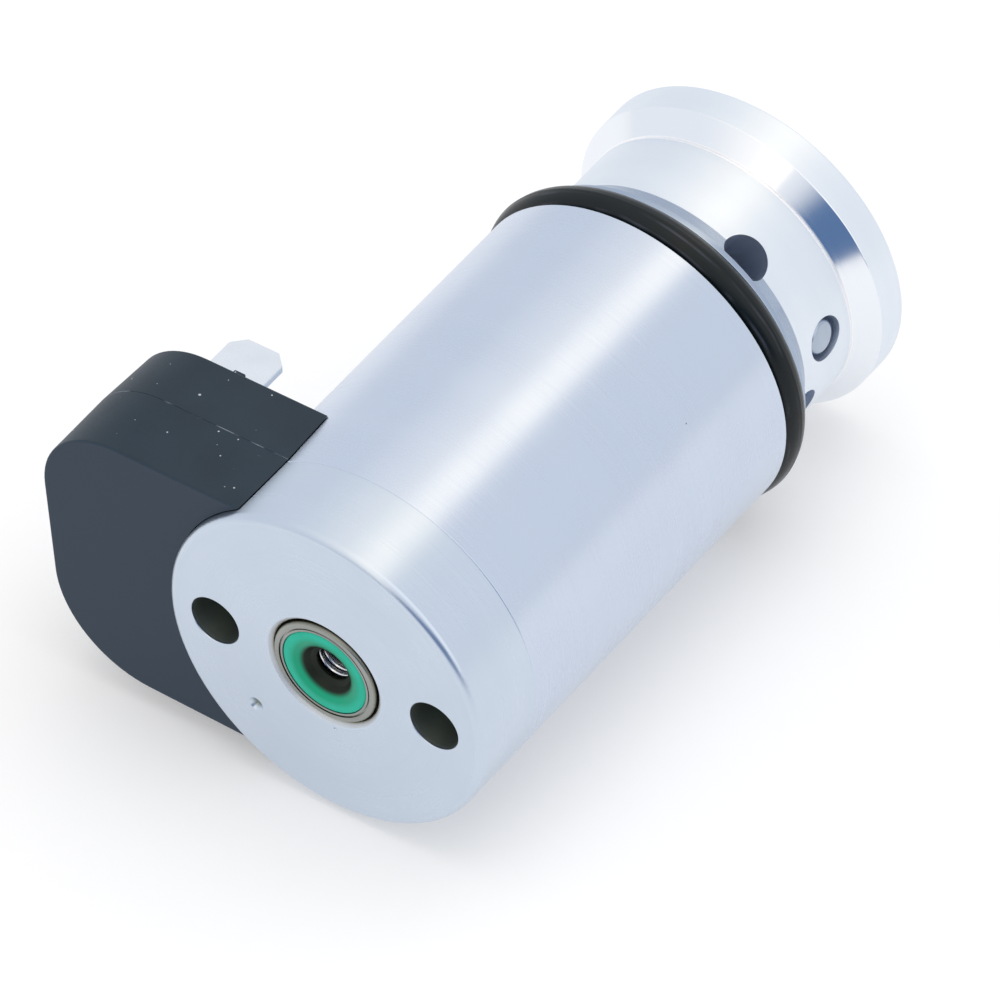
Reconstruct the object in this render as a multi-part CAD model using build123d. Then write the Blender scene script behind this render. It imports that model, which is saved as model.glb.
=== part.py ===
from build123d import *
import math
import os

os.makedirs("parts", exist_ok=True)

# An air brake solenoid valve, in millimetres.
# The valve's axis is Y. The cap's outer face is at Y = 0 and the flange end at the largest Y.
# The connector stands out on the -X side. Angles are measured about Y, from +X towards +Z.

# Clearances
running_fit = 0.05
press_gap = 0.03
seat_gap = 0.02

# How far a cut runs past the surface that it opens
cut_margin = 1.0

# Coil can: a drawn steel cup whose base holds the valve body
can_radius = 18.0
can_wall = 1.2
can_base_y = 50.0
can_inner_radius = can_radius - can_wall
can_base_hole_radius = can_radius - 2.6
joint_chamfer = 0.15

# End cap
cap_length = 8.75
cap_edge_fillet = 0.83
spigot_length = 3.2
spigot_end = cap_length + spigot_length
fixing_hole_radius = 2.75
fixing_hole_spacing = 25.2
fixing_hole_depth = 7.0
fixing_hole_chamfer = 0.15
punch_mark_radius = 0.8
punch_mark_depth = 0.35
punch_mark_angle = 226.2
punch_mark_reach = 12.25

# Port in the cap and the sprung face seal in it
port_bore_radius = 6.05
port_chamfer = 0.45
port_step_y = 3.0
port_step_radius = 6.5
seal_case_radius = 5.85
seal_case_flange_radius = 6.4
seal_case_flange_length = 0.8
seal_case_floor = 1.05
seal_case_floor_hole_radius = 2.6
seal_pocket_radius = 4.8
lip_groove_outer_radius = 5.2
lip_groove_inner_radius = 5.05
lip_groove_depth = 0.25
case_edge_chamfer = 0.2
case_lip_rounding = 0.05
seal_face_y = 0.08
seal_edge_radius = 0.22
seal_mouth_radius = 3.6
seal_throat_radius = 1.8
seal_throat_y = 1.35
seal_lip_thickness = 0.25
seal_spring_wire_radius = 0.27
seal_spring_mean_radius = 1.98
seal_spring_turns = 6
spring_pocket_radius = 2.4

# Pole core and guide tube
core_head_start = 6.5
core_head_end = 8.9
core_head_radius = 7.2
core_pocket_depth = 1.0
core_pocket_radius = 2.5
core_end = 27.0
tube_inner_radius = 5.5
tube_outer_radius = 6.0
tube_flange_radius = 8.5
tube_flange_thickness = 0.5
exhaust_bore_radius = 1.2
exhaust_post_radius = 2.0
exhaust_lip_rise = 0.05
return_spring_pocket_radius = 4.2
return_spring_pocket_depth = 4.5
core_seal_section = 1.8
core_seal_space_radius = 7.9

# Armature and its return spring
armature_travel = 0.9
armature_start = 28.0
armature_end = can_base_y
armature_radius = 5.4
armature_post_radius = 2.8
armature_groove_width = 1.6
armature_groove_depth = 0.9
exhaust_pad_radius = 2.0
exhaust_pad_thickness = 1.6
supply_pad_radius = 2.8
supply_pad_depth = 2.2
supply_pad_rise = 0.15
return_spring_wire_radius = 0.35
return_spring_mean_radius = 3.5
return_spring_turns = 5

# Coil
bobbin_hub_thickness = 1.1
bobbin_flange_thickness = 1.6
bobbin_flange_radius = can_inner_radius - 1.2
winding_radius = bobbin_flange_radius - 0.7
tape_thickness = 0.35
lead_slot_width = 4.0
lead_slot_reach = can_radius - 4.8
lead_wire_radius = 0.4
lead_offset = 0.95
lead_start_reach = lead_slot_reach + 1.1
lead_turn_reach = can_radius + 3.0
lead_blade_gap = 0.8
lead_bend_radius = 1.2

# Steel ring that closes the magnetic circuit
flux_ring_end = can_base_y - 5.5
flux_ring_thickness = 3.7
flux_ring_start = flux_ring_end - flux_ring_thickness
bobbin_end = flux_ring_start - seat_gap

# Valve body
body_start = flux_ring_end
body_disc_end = can_base_y - can_wall
o_ring_groove_radius = can_base_hole_radius - 0.4
o_ring_groove_end = can_base_y + 4.4
working_port_y = o_ring_groove_end + 2.2
neck_radius = o_ring_groove_radius + 0.5
shoulder_radius = neck_radius + 1.0
shoulder_end = o_ring_groove_end + 2.3
neck_end = working_port_y + 8.1
neck_relief_start = neck_end - 0.3
neck_relief_depth = 0.2
rim_start = neck_end + 2.0
rim_radius = can_radius - 0.4
rim_chamfer = 0.4
body_end = rim_start + 3.8
chamber_radius = 5.6
chamber_end = working_port_y + 2.6
nozzle_seat_radius = 4.6
nozzle_seat_end = chamber_end + 3.5
supply_chamber_radius = 7.0
snap_groove_radius = 7.6
snap_groove_start = neck_end - 0.1
snap_groove_width = 1.0
supply_mouth_chamfer = 0.6
working_port_radius = 2.5
working_port_angles = (54.0, -18.0, -90.0)
plug_hole_radius = 2.3
plug_hole_y = chamber_end + 1.3
plug_hole_angle = 7.6
plug_hole_floor = neck_radius - 6.0
gallery_radius = 1.2

# Closing plug in the side of the valve body
plug_shoulder_reach = neck_radius - 2.3
plug_head_radius = 1.8
plug_head_reach = neck_radius - 0.3
plug_head_rounding = 0.5

# Supply nozzle
nozzle_post_radius = 3.2
nozzle_bore_radius = 1.2
nozzle_lip_outer_radius = 1.9
nozzle_lip_height = 0.45
nozzle_groove_radius = 3.9
nozzle_groove_width = 1.4
nozzle_groove_start = plug_hole_y - nozzle_groove_width / 2

# Seals and rings outside the valve body
o_ring_section = 3.5
o_ring_centre_y = can_base_y + 1.9
back_ring_thickness = 0.7
back_ring_radius = can_radius - 0.8
back_ring_gap_angle = 250.0
back_ring_gap_width = 0.8
tube_seal_section = 1.3
tube_seal_centre_radius = tube_flange_radius - 0.8
tube_seal_groove_width = 2.2
tube_seal_groove_depth = 1.35

# Filter in the supply end
filter_thickness = 1.3
filter_gap = 0.05
snap_ring_width = 1.7
snap_ring_thickness = 0.9
snap_ring_opening = 6.0

# Connector: a moulded housing and its cover, joined at one plane
hood_joint_y = cap_length + 0.35
hood_front_y = hood_joint_y - 7.8
hood_rear_y = hood_joint_y + 7.0
hood_top = can_radius - 2.7
hood_side = -can_radius - 15.35
hood_lower_side = hood_side + 0.7
hood_bottom = 2.6 - can_radius
hood_bottom_at_can = 1.8 - can_radius
hood_inner_reach = -8.0
hood_upper_corner = 9.0
hood_lower_corner = 10.7
cover_draft = 0.5
housing_draft = 2.5
hood_edge_fillet = 0.45
hood_wall = 1.8
hood_base_depth = 3.0
window_width = 10.0
window_depth = 4.0
tongue_reach = can_radius - 2.1
tongue_channel_width = 3.4
tongue_channel_depth = 2.0
nub_width = 1.3
nub_length = 0.5
nub_height = 0.8
nub_x = -can_radius - 2.7
nub_edge_margin = 0.6

# Terminal blades
blade_width = 6.3
blade_thickness = 0.8
blade_length = 9.85
blade_tip_chamfer = 1.8
blade_x = -can_radius - 7.3
blade_z = 7.6
blade_start = hood_joint_y - 2.5
blade_plinth = 0.4
blade_plinth_margin = 0.5
blade_slot_gap = 0.05


def rod(radius, start, end):
    """Solid cylinder on the valve's axis."""
    cylinder = Cylinder(radius, end - start, align=(Align.CENTER, Align.CENTER, Align.MIN))
    return Pos(0, start, 0) * Rot(-90, 0, 0) * cylinder


def tube(outer_radius, inner_radius, start, end):
    """Plain ring or sleeve on the valve's axis."""
    return rod(outer_radius, start, end) - rod(inner_radius, start, end)


def turned(*points):
    """Solid of revolution about the valve's axis, from (radius, y) points."""
    return revolve(make_face(Polyline(*points, close=True)), axis=Axis.Y)


def o_ring(centre_radius, section, centre_y):
    """Round rubber ring on the valve's axis."""
    return Pos(0, centre_y, 0) * Rot(-90, 0, 0) * Torus(centre_radius, section / 2)


def spoke(radius, y, angle, inner_reach, outer_reach):
    """Cylinder that points straight out from the valve's axis."""
    length = outer_reach - inner_reach
    cylinder = Cylinder(radius, length, align=(Align.CENTER, Align.CENTER, Align.MIN))
    return Pos(0, y, 0) * Rot(0, -angle, 0) * Pos(inner_reach, 0, 0) * Rot(0, 90, 0) * cylinder


def block(x_range, y_range, z_range):
    """Box between two limits on each axis."""
    size = [limits[1] - limits[0] for limits in (x_range, y_range, z_range)]
    centre = [(limits[0] + limits[1]) / 2 for limits in (x_range, y_range, z_range)]
    return Pos(*centre) * Box(*size)


def coil_spring(mean_radius, wire_radius, turns, start, end):
    """Round-wire compression spring on the valve's axis."""
    height = end - start - 2 * wire_radius
    path = Helix(pitch=height / turns, height=height, radius=mean_radius)
    section = Plane(origin=path @ 0, z_dir=path % 0) * Circle(wire_radius)
    spring = sweep(section, path=path, is_frenet=True)
    return Pos(0, start + wire_radius, 0) * Rot(-90, 0, 0) * spring


def make_end_cap():
    """Thick steel cap: fixing holes, sealed port and the seat of the pole core."""
    core_bore = core_head_radius + press_gap
    cap = turned(
        (port_bore_radius, 0),
        (can_radius, 0),
        (can_radius, cap_length),
        (can_inner_radius - press_gap, cap_length),
        (can_inner_radius - press_gap, spigot_end),
        (core_seal_space_radius, spigot_end),
        (core_seal_space_radius, core_head_end),
        (core_bore, core_head_end),
        (core_bore, core_head_start),
        (port_step_radius, core_head_start),
        (port_step_radius, port_step_y),
        (port_bore_radius, port_step_y),
    )
    face_edges = cap.edges().filter_by(GeomType.CIRCLE).group_by(Axis.Y)[0].sort_by(SortBy.RADIUS)
    cap = fillet(face_edges[-1], cap_edge_fillet)
    face_edges = cap.edges().filter_by(GeomType.CIRCLE).group_by(Axis.Y)[0].sort_by(SortBy.RADIUS)
    cap = chamfer(face_edges[0], port_chamfer)
    joint_edges = [
        edge
        for edge in cap.edges().filter_by(GeomType.CIRCLE)
        if abs(edge.center().Y - cap_length) < 0.01 and abs(edge.radius - can_radius) < 0.01
    ]
    cap = chamfer(joint_edges, joint_chamfer)
    for side in (-1, 1):
        hole = rod(fixing_hole_radius, -cut_margin, fixing_hole_depth)
        mouth = Pos(0, fixing_hole_chamfer / 2, 0) * Rot(90, 0, 0) * Cone(
            fixing_hole_radius, fixing_hole_radius + fixing_hole_chamfer, fixing_hole_chamfer
        )
        cap -= Pos(side * fixing_hole_spacing / 2, 0, 0) * (hole + mouth)
    mark = Pos(0, punch_mark_depth / 2, 0) * Rot(90, 0, 0) * Cone(0, punch_mark_radius, punch_mark_depth)
    cap -= Rot(0, -punch_mark_angle, 0) * Pos(punch_mark_reach, 0, 0) * mark
    lead_slot = block(
        (-can_radius, -lead_slot_reach),
        (cap_length - cut_margin, spigot_end + cut_margin),
        (-window_width / 2, window_width / 2),
    )
    return cap - (lead_slot & rod(can_radius - can_wall, cap_length, spigot_end))


def make_coil_can():
    """Drawn cup with a hole in its base and an open notch for the connector's tongue."""
    can = turned(
        (can_inner_radius, cap_length),
        (can_radius, cap_length),
        (can_radius, can_base_y),
        (can_base_hole_radius, can_base_y),
        (can_base_hole_radius, body_disc_end),
        (can_inner_radius, body_disc_end),
    )
    rims = can.edges().filter_by(GeomType.CIRCLE).group_by(Axis.Y)
    front = rims[0].sort_by(SortBy.RADIUS)[-1]
    rear = rims[-1].sort_by(SortBy.RADIUS)[-1]
    can = chamfer([front, rear], joint_chamfer)
    notch = block(
        (-can_radius - cut_margin, -tongue_reach),
        (cap_length - cut_margin, cap_length + window_depth),
        (-window_width / 2, window_width / 2),
    )
    return can - notch


def make_port_seal_case():
    """Metal case that slides in the port: outer wall, rear flange and a floor for the seal."""
    flange_start = port_step_y + seat_gap
    rear = flange_start + seal_case_flange_length
    floor = rear - seal_case_floor
    return turned(
        (seal_pocket_radius, case_lip_rounding),
        ((seal_pocket_radius + lip_groove_inner_radius) / 2, 0),
        (lip_groove_inner_radius, case_lip_rounding),
        (lip_groove_inner_radius, lip_groove_depth),
        (lip_groove_outer_radius, lip_groove_depth),
        (lip_groove_outer_radius, 0),
        (seal_case_radius - case_edge_chamfer, 0),
        (seal_case_radius, case_edge_chamfer),
        (seal_case_radius, flange_start),
        (seal_case_flange_radius, flange_start),
        (seal_case_flange_radius, rear),
        (seal_case_floor_hole_radius, rear),
        (seal_case_floor_hole_radius, floor),
        (seal_pocket_radius, floor),
    )


def make_port_seal():
    """Green rubber face seal with a funnel mouth and a pocket for the spring behind its lip."""
    rear = port_step_y + seat_gap + seal_case_flange_length - seal_case_floor
    outer = seal_pocket_radius
    lip_end = seal_throat_y + seal_lip_thickness
    bend = (
        seal_throat_radius + 0.25 * (seal_mouth_radius - seal_throat_radius),
        seal_face_y + 0.25 * (seal_throat_y - seal_face_y),
    )
    corner = seal_edge_radius * (1 - math.sqrt(0.5))
    outline = (
        Line((spring_pocket_radius, rear), (outer, rear))
        + Line((outer, rear), (outer, seal_face_y + seal_edge_radius))
        + ThreePointArc(
            (outer, seal_face_y + seal_edge_radius),
            (outer - corner, seal_face_y + corner),
            (outer - seal_edge_radius, seal_face_y),
        )
        + Line((outer - seal_edge_radius, seal_face_y), (seal_mouth_radius, seal_face_y))
        + ThreePointArc((seal_mouth_radius, seal_face_y), bend, (seal_throat_radius, seal_throat_y))
        + Line((seal_throat_radius, seal_throat_y), (seal_throat_radius, lip_end))
        + Line((seal_throat_radius, lip_end), (spring_pocket_radius, lip_end))
        + Line((spring_pocket_radius, lip_end), (spring_pocket_radius, rear))
    )
    return revolve(make_face(outline), axis=Axis.Y)


def make_pole_core():
    """Fixed core: head in the cap, exhaust bore, and a post with a lip for the armature's pad."""
    core = rod(core_head_radius, core_head_start, core_head_end)
    core += rod(tube_inner_radius - press_gap, core_head_start, core_end)
    pocket_start = core_end - return_spring_pocket_depth
    core -= tube(return_spring_pocket_radius, exhaust_post_radius, pocket_start, core_end)
    core += rod(exhaust_post_radius, core_end - cut_margin, core_end + exhaust_lip_rise)
    core -= rod(core_pocket_radius, core_head_start, core_head_start + core_pocket_depth)
    return core - rod(exhaust_bore_radius, core_head_start, core_end + cut_margin)


def make_guide_tube():
    """Thin non-magnetic tube that guides the armature, with a sealing flange at its rear."""
    sleeve = tube(tube_outer_radius, tube_inner_radius, core_head_end, flux_ring_end)
    flange_start = flux_ring_end - tube_flange_thickness
    return sleeve + tube(tube_flange_radius, tube_inner_radius, flange_start, flux_ring_end)


def make_armature():
    """Plunger with a spring pocket, two rubber pad seats and two air grooves."""
    plunger = rod(armature_radius, armature_start, armature_end)
    plunger -= tube(
        return_spring_pocket_radius,
        armature_post_radius,
        armature_start,
        armature_start + return_spring_pocket_depth,
    )
    plunger -= rod(exhaust_pad_radius, armature_start, armature_start + exhaust_pad_thickness)
    plunger -= rod(supply_pad_radius, armature_end - supply_pad_depth, armature_end)
    groove_floor = armature_radius - armature_groove_depth
    for side in (-1, 1):
        plunger -= block(
            (-armature_groove_width / 2, armature_groove_width / 2),
            (armature_start - cut_margin, armature_end + cut_margin),
            sorted((side * groove_floor, side * (armature_radius + cut_margin))),
        )
    return plunger


def make_exhaust_seal():
    """Rubber pad in the armature's front end."""
    return rod(exhaust_pad_radius, armature_start, armature_start + exhaust_pad_thickness)


def make_supply_seal():
    """Rubber pad in the armature's rear end, on the supply nozzle at rest."""
    return rod(supply_pad_radius, armature_end - supply_pad_depth, armature_end + supply_pad_rise)


def make_bobbin():
    """Moulded spool with a notch in its front flange for the two leads."""
    inner = tube_outer_radius + running_fit
    hub = inner + bobbin_hub_thickness
    spool = tube(hub, inner, spigot_end, bobbin_end)
    spool += tube(bobbin_flange_radius, inner, spigot_end, spigot_end + bobbin_flange_thickness)
    spool += tube(bobbin_flange_radius, inner, bobbin_end - bobbin_flange_thickness, bobbin_end)
    slot = block(
        (-bobbin_flange_radius - cut_margin, -lead_slot_reach),
        (spigot_end - cut_margin, spigot_end + bobbin_flange_thickness),
        (-lead_slot_width / 2, lead_slot_width / 2),
    )
    return spool - slot


def make_coil_winding():
    """Copper winding between the bobbin's flanges."""
    hub = tube_outer_radius + running_fit + bobbin_hub_thickness
    start = spigot_end + bobbin_flange_thickness
    return tube(winding_radius, hub, start, bobbin_end - bobbin_flange_thickness)


def make_winding_tape():
    """Insulating tape round the winding."""
    start = spigot_end + bobbin_flange_thickness
    end = bobbin_end - bobbin_flange_thickness
    return tube(winding_radius + tape_thickness, winding_radius, start, end)


def make_coil_lead(side):
    """Insulated lead from the winding, through the can's notch, to one terminal blade."""
    winding_face = spigot_end + bobbin_flange_thickness
    channel_y = hood_joint_y + tongue_channel_depth / 2
    channel_z = side * lead_offset
    blade_side = side * (blade_z - blade_thickness / 2 - lead_wire_radius - seat_gap)
    blade_edge = blade_x + blade_width / 2
    path = FilletPolyline(
        (-lead_start_reach, winding_face, channel_z),
        (-lead_start_reach, channel_y, channel_z),
        (-lead_turn_reach, channel_y, channel_z),
        (blade_edge, blade_start + lead_blade_gap, blade_side),
        (blade_x, blade_start + lead_blade_gap, blade_side),
        radius=lead_bend_radius,
    )
    section = Plane(origin=path @ 0, z_dir=path % 0) * Circle(lead_wire_radius)
    return sweep(section, path=path)


def make_flux_ring():
    """Steel ring behind the coil, recessed for the guide tube's flange."""
    ring = tube(
        can_inner_radius - press_gap,
        tube_outer_radius + running_fit,
        flux_ring_start,
        flux_ring_end,
    )
    recess_start = flux_ring_end - tube_flange_thickness
    return ring - rod(tube_flange_radius + running_fit, recess_start, flux_ring_end)


def make_valve_body():
    """Aluminium body: disc in the can, seal groove, shoulder, neck with its ports, and rim."""
    snap_end = snap_groove_start + snap_groove_width
    body = turned(
        (chamber_radius, body_start),
        (can_inner_radius - press_gap, body_start),
        (can_inner_radius - press_gap, body_disc_end),
        (can_base_hole_radius - press_gap, body_disc_end),
        (can_base_hole_radius - press_gap, can_base_y),
        (o_ring_groove_radius, can_base_y),
        (o_ring_groove_radius, o_ring_groove_end),
        (shoulder_radius, o_ring_groove_end),
        (neck_radius, shoulder_end),
        (neck_radius, neck_relief_start),
        (neck_radius - neck_relief_depth, neck_relief_start),
        (neck_radius - neck_relief_depth, neck_end),
        (neck_radius, neck_end),
        (rim_radius, rim_start),
        (rim_radius, body_end - rim_chamfer),
        (rim_radius - rim_chamfer, body_end),
        (supply_chamber_radius + supply_mouth_chamfer, body_end),
        (supply_chamber_radius, body_end - supply_mouth_chamfer),
        (supply_chamber_radius, snap_end),
        (snap_groove_radius, snap_end),
        (snap_groove_radius, snap_groove_start),
        (supply_chamber_radius, snap_groove_start),
        (supply_chamber_radius, nozzle_seat_end),
        (nozzle_seat_radius, nozzle_seat_end),
        (nozzle_seat_radius, chamber_end),
        (chamber_radius, chamber_end),
    )
    half_groove = tube_seal_groove_width / 2
    body -= tube(
        tube_seal_centre_radius + half_groove,
        tube_seal_centre_radius - half_groove,
        body_start,
        body_start + tube_seal_groove_depth,
    )
    for angle in working_port_angles:
        body -= spoke(working_port_radius, working_port_y, angle, chamber_radius - cut_margin, rim_radius)
    body -= spoke(plug_hole_radius, plug_hole_y, plug_hole_angle, plug_hole_floor, rim_radius)
    gallery_start = nozzle_seat_radius - cut_margin
    return body - spoke(gallery_radius, plug_hole_y, plug_hole_angle, gallery_start, rim_radius)


def make_closing_plug():
    """Steel plug pressed in the side hole, with a rounded head that stands in its recess."""
    head = rod(plug_head_radius, plug_hole_floor, plug_head_reach)
    head = fillet(head.faces().sort_by(Axis.Y)[-1].edges(), plug_head_rounding)
    plug = head + rod(plug_hole_radius, plug_hole_floor, plug_shoulder_reach)
    return Pos(0, plug_hole_y, 0) * Rot(0, -plug_hole_angle, 0) * Rot(0, 0, -90) * plug


def make_supply_nozzle():
    """Steel nozzle screwed in behind the chamber: its lip is the supply seat."""
    lip_y = armature_end + supply_pad_rise + seat_gap
    groove_end = nozzle_groove_start + nozzle_groove_width
    return turned(
        (nozzle_bore_radius, lip_y),
        (nozzle_lip_outer_radius, lip_y),
        (nozzle_post_radius, lip_y + nozzle_lip_height),
        (nozzle_post_radius, chamber_end),
        (nozzle_seat_radius, chamber_end),
        (nozzle_seat_radius, nozzle_groove_start),
        (nozzle_groove_radius, nozzle_groove_start),
        (nozzle_groove_radius, groove_end),
        (nozzle_seat_radius, groove_end),
        (nozzle_seat_radius, nozzle_seat_end),
        (nozzle_bore_radius, nozzle_seat_end),
    )


def make_back_ring():
    """Split metal ring behind the large O-ring."""
    start = o_ring_groove_end - back_ring_thickness
    ring = tube(back_ring_radius, o_ring_groove_radius + running_fit, start, o_ring_groove_end)
    gap = block(
        (0, can_radius),
        (start - cut_margin, o_ring_groove_end + cut_margin),
        (-back_ring_gap_width / 2, back_ring_gap_width / 2),
    )
    return ring - Rot(0, -back_ring_gap_angle, 0) * gap


def make_inlet_filter():
    """Sintered filter disc in the supply chamber."""
    end = snap_groove_start - seat_gap
    disc = rod(supply_chamber_radius - filter_gap, end - filter_thickness, end)
    return chamfer(disc.edges().filter_by(GeomType.CIRCLE), filter_thickness / 5)


def make_filter_ring():
    """Open snap ring that keeps the filter in."""
    outer = snap_groove_radius - running_fit
    end = snap_groove_start + snap_ring_thickness
    ring = tube(outer, outer - snap_ring_width, snap_groove_start, end)
    opening = block(
        (0, can_radius),
        (snap_groove_start - cut_margin, end + cut_margin),
        (-snap_ring_opening / 2, snap_ring_opening / 2),
    )
    return ring - opening


def hood_outline(inset):
    """Connector's outline across the valve's axis, drawn in at the free sides by the inset."""
    corners = Polyline(
        (hood_inner_reach, hood_top - inset),
        (hood_side + inset, hood_top - inset),
        (hood_lower_side + inset, hood_bottom + inset),
        (hood_inner_reach, hood_bottom_at_can + inset),
        close=True,
    )
    outline = make_face(corners)
    for corner, radius in (
        ((hood_side, hood_top), hood_upper_corner),
        ((hood_lower_side, hood_bottom), hood_lower_corner),
    ):
        nearest = outline.vertices().sort_by_distance(corner)[0]
        outline = fillet(nearest, radius - inset)
    return outline


def hood_solid(inset, length, side):
    """Drafted moulding that runs from the joint plane to the front (-1) or to the rear (1)."""
    draft = housing_draft if side > 0 else cover_draft
    solid = extrude(Plane.XZ * hood_outline(inset), amount=length, taper=draft)
    if side > 0:
        solid = mirror(solid, about=Plane.XZ)
    return Pos(0, hood_joint_y, 0) * solid


def make_connector_cover():
    """Front half of the connector: a hollow moulded lid that follows the cap."""
    length = hood_joint_y - hood_front_y
    cover = hood_solid(0, length, -1)
    cover = fillet(cover.faces().sort_by(Axis.Y)[0].edges(), hood_edge_fillet)
    cavity = hood_solid(hood_wall, length - hood_wall, -1)
    cavity -= rod(can_radius + hood_wall, hood_front_y, hood_joint_y)
    cover -= cavity
    return cover - rod(can_radius + running_fit, hood_front_y - cut_margin, hood_joint_y + cut_margin)


def make_connector_housing():
    """Rear half of the connector: blade block, wiring space and the tongue in the can's notch."""
    housing = hood_solid(0, hood_rear_y - hood_joint_y, 1)
    housing = fillet(housing.faces().sort_by(Axis.Y)[-1].edges(), hood_edge_fillet)
    cavity = hood_solid(hood_wall, hood_base_depth, 1)
    cavity -= rod(can_radius + hood_wall, hood_joint_y - cut_margin, hood_rear_y)
    housing -= cavity
    housing -= rod(can_radius + running_fit, hood_joint_y - cut_margin, hood_rear_y + cut_margin)
    half_tongue = window_width / 2 - running_fit
    housing += block(
        (-can_radius - cut_margin, -tongue_reach),
        (hood_joint_y, cap_length + window_depth - running_fit),
        (-half_tongue, half_tongue),
    )
    housing -= block(
        (-can_radius - hood_wall - cut_margin, -tongue_reach + cut_margin),
        (hood_joint_y - cut_margin, hood_joint_y + tongue_channel_depth),
        (-tongue_channel_width / 2, tongue_channel_width / 2),
    )
    for side in (-1, 1):
        half_width = blade_width / 2 + blade_slot_gap
        half_height = blade_thickness / 2 + blade_slot_gap
        plinth_height = half_height + blade_plinth_margin
        housing += block(
            (blade_x - half_width - blade_plinth_margin, blade_x + half_width + blade_plinth_margin),
            (hood_rear_y - cut_margin, hood_rear_y + blade_plinth),
            (side * blade_z - plinth_height, side * blade_z + plinth_height),
        )
        housing -= block(
            (blade_x - half_width, blade_x + half_width),
            (hood_joint_y, hood_rear_y + cut_margin),
            (side * blade_z - half_height, side * blade_z + half_height),
        )
    nub = block(
        (nub_x - nub_width / 2, nub_x + nub_width / 2),
        (hood_rear_y - cut_margin, hood_rear_y + nub_length),
        (hood_top - nub_edge_margin - nub_height, hood_top - nub_edge_margin),
    )
    return housing + nub


def make_terminal_blade(side):
    """Flat push-on blade that starts in the wiring space and ends behind the connector."""
    tip = hood_rear_y + blade_length
    half_width = blade_width / 2
    outline = Polyline(
        (blade_x - half_width, blade_start),
        (blade_x + half_width, blade_start),
        (blade_x + half_width, tip - blade_tip_chamfer),
        (blade_x + half_width - blade_tip_chamfer, tip),
        (blade_x - half_width + blade_tip_chamfer, tip),
        (blade_x - half_width, tip - blade_tip_chamfer),
        close=True,
    )
    blade = extrude(make_face(outline), amount=blade_thickness / 2, both=True)
    return Pos(0, 0, side * blade_z) * blade


nodes = {
    "end_cap": make_end_cap(),
    "coil_can": make_coil_can(),
    "port_seal_case": make_port_seal_case(),
    "port_seal": make_port_seal(),
    "seal_spring": coil_spring(
        seal_spring_mean_radius,
        seal_spring_wire_radius,
        seal_spring_turns,
        seal_throat_y + seal_lip_thickness + seat_gap,
        core_head_start + core_pocket_depth - seat_gap,
    ),
    "pole_core": make_pole_core(),
    "core_o_ring": o_ring(
        (tube_outer_radius + core_seal_space_radius) / 2,
        core_seal_section,
        core_head_end + core_seal_section / 2 + running_fit,
    ),
    "guide_tube": make_guide_tube(),
    "return_spring": coil_spring(
        return_spring_mean_radius,
        return_spring_wire_radius,
        return_spring_turns,
        core_end - return_spring_pocket_depth + seat_gap,
        armature_start + return_spring_pocket_depth - seat_gap,
    ),
    "armature": make_armature(),
    "exhaust_seal": make_exhaust_seal(),
    "supply_seal": make_supply_seal(),
    "bobbin": make_bobbin(),
    "coil_winding": make_coil_winding(),
    "winding_tape": make_winding_tape(),
    "coil_lead_upper": make_coil_lead(1),
    "coil_lead_lower": make_coil_lead(-1),
    "flux_ring": make_flux_ring(),
    "tube_o_ring": o_ring(
        tube_seal_centre_radius,
        tube_seal_section,
        body_start + tube_seal_section / 2 + seat_gap,
    ),
    "valve_body": make_valve_body(),
    "body_o_ring": o_ring(
        o_ring_groove_radius + o_ring_section / 2,
        o_ring_section,
        o_ring_centre_y,
    ),
    "back_ring": make_back_ring(),
    "closing_plug": make_closing_plug(),
    "supply_nozzle": make_supply_nozzle(),
    "inlet_filter": make_inlet_filter(),
    "filter_ring": make_filter_ring(),
    "connector_housing": make_connector_housing(),
    "connector_cover": make_connector_cover(),
    "terminal_blade_upper": make_terminal_blade(1),
    "terminal_blade_lower": make_terminal_blade(-1),
}

for name, solid in nodes.items():
    export_step(solid, f"parts/{name}.step")
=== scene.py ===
import logging
import math
from collections.abc import Iterator
from contextlib import contextmanager
from dataclasses import dataclass
from enum import Enum

import bmesh
import bpy
from mathutils import Matrix, Vector


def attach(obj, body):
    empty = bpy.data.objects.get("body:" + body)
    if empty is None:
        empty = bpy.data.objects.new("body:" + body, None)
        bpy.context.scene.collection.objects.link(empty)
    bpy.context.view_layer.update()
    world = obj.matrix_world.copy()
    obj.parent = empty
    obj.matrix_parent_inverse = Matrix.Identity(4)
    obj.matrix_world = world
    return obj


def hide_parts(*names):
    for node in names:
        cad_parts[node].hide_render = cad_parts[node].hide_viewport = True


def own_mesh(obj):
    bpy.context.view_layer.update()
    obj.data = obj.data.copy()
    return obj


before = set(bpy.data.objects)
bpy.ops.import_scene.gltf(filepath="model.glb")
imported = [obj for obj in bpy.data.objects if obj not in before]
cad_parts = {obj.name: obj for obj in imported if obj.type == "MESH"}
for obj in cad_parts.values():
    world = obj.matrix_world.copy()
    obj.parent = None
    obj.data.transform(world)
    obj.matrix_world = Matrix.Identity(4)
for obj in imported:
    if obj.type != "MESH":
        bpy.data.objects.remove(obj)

logging.basicConfig(level=logging.INFO, format="%(message)s")
log = logging.getLogger("solenoid_valve")

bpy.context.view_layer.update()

# Sizes are in millimetres and are turned into Blender's metres where a mesh or a light is placed.
# The valve's axis is Y, with the cap's face at Y = 0. The connector stands out on the -X side.
MM = 0.001
MERGE_DISTANCE = 1e-8  # in metres
FULL_TURN = 2 * math.pi

# Steps round the axis of the large turned pieces, and of holes and rods.
FINE_STEPS = 320
HOLE_STEPS = 96

# How far a cutting tool stands out past what it cuts.
OVERCUT = 1.0

# The range that most values of a noise lie in.
NOISE_RANGE = (0.3, 0.7)

Colour = tuple[float, float, float]
Corner = tuple[float, float, float]
Point = tuple[float, float]


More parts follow.
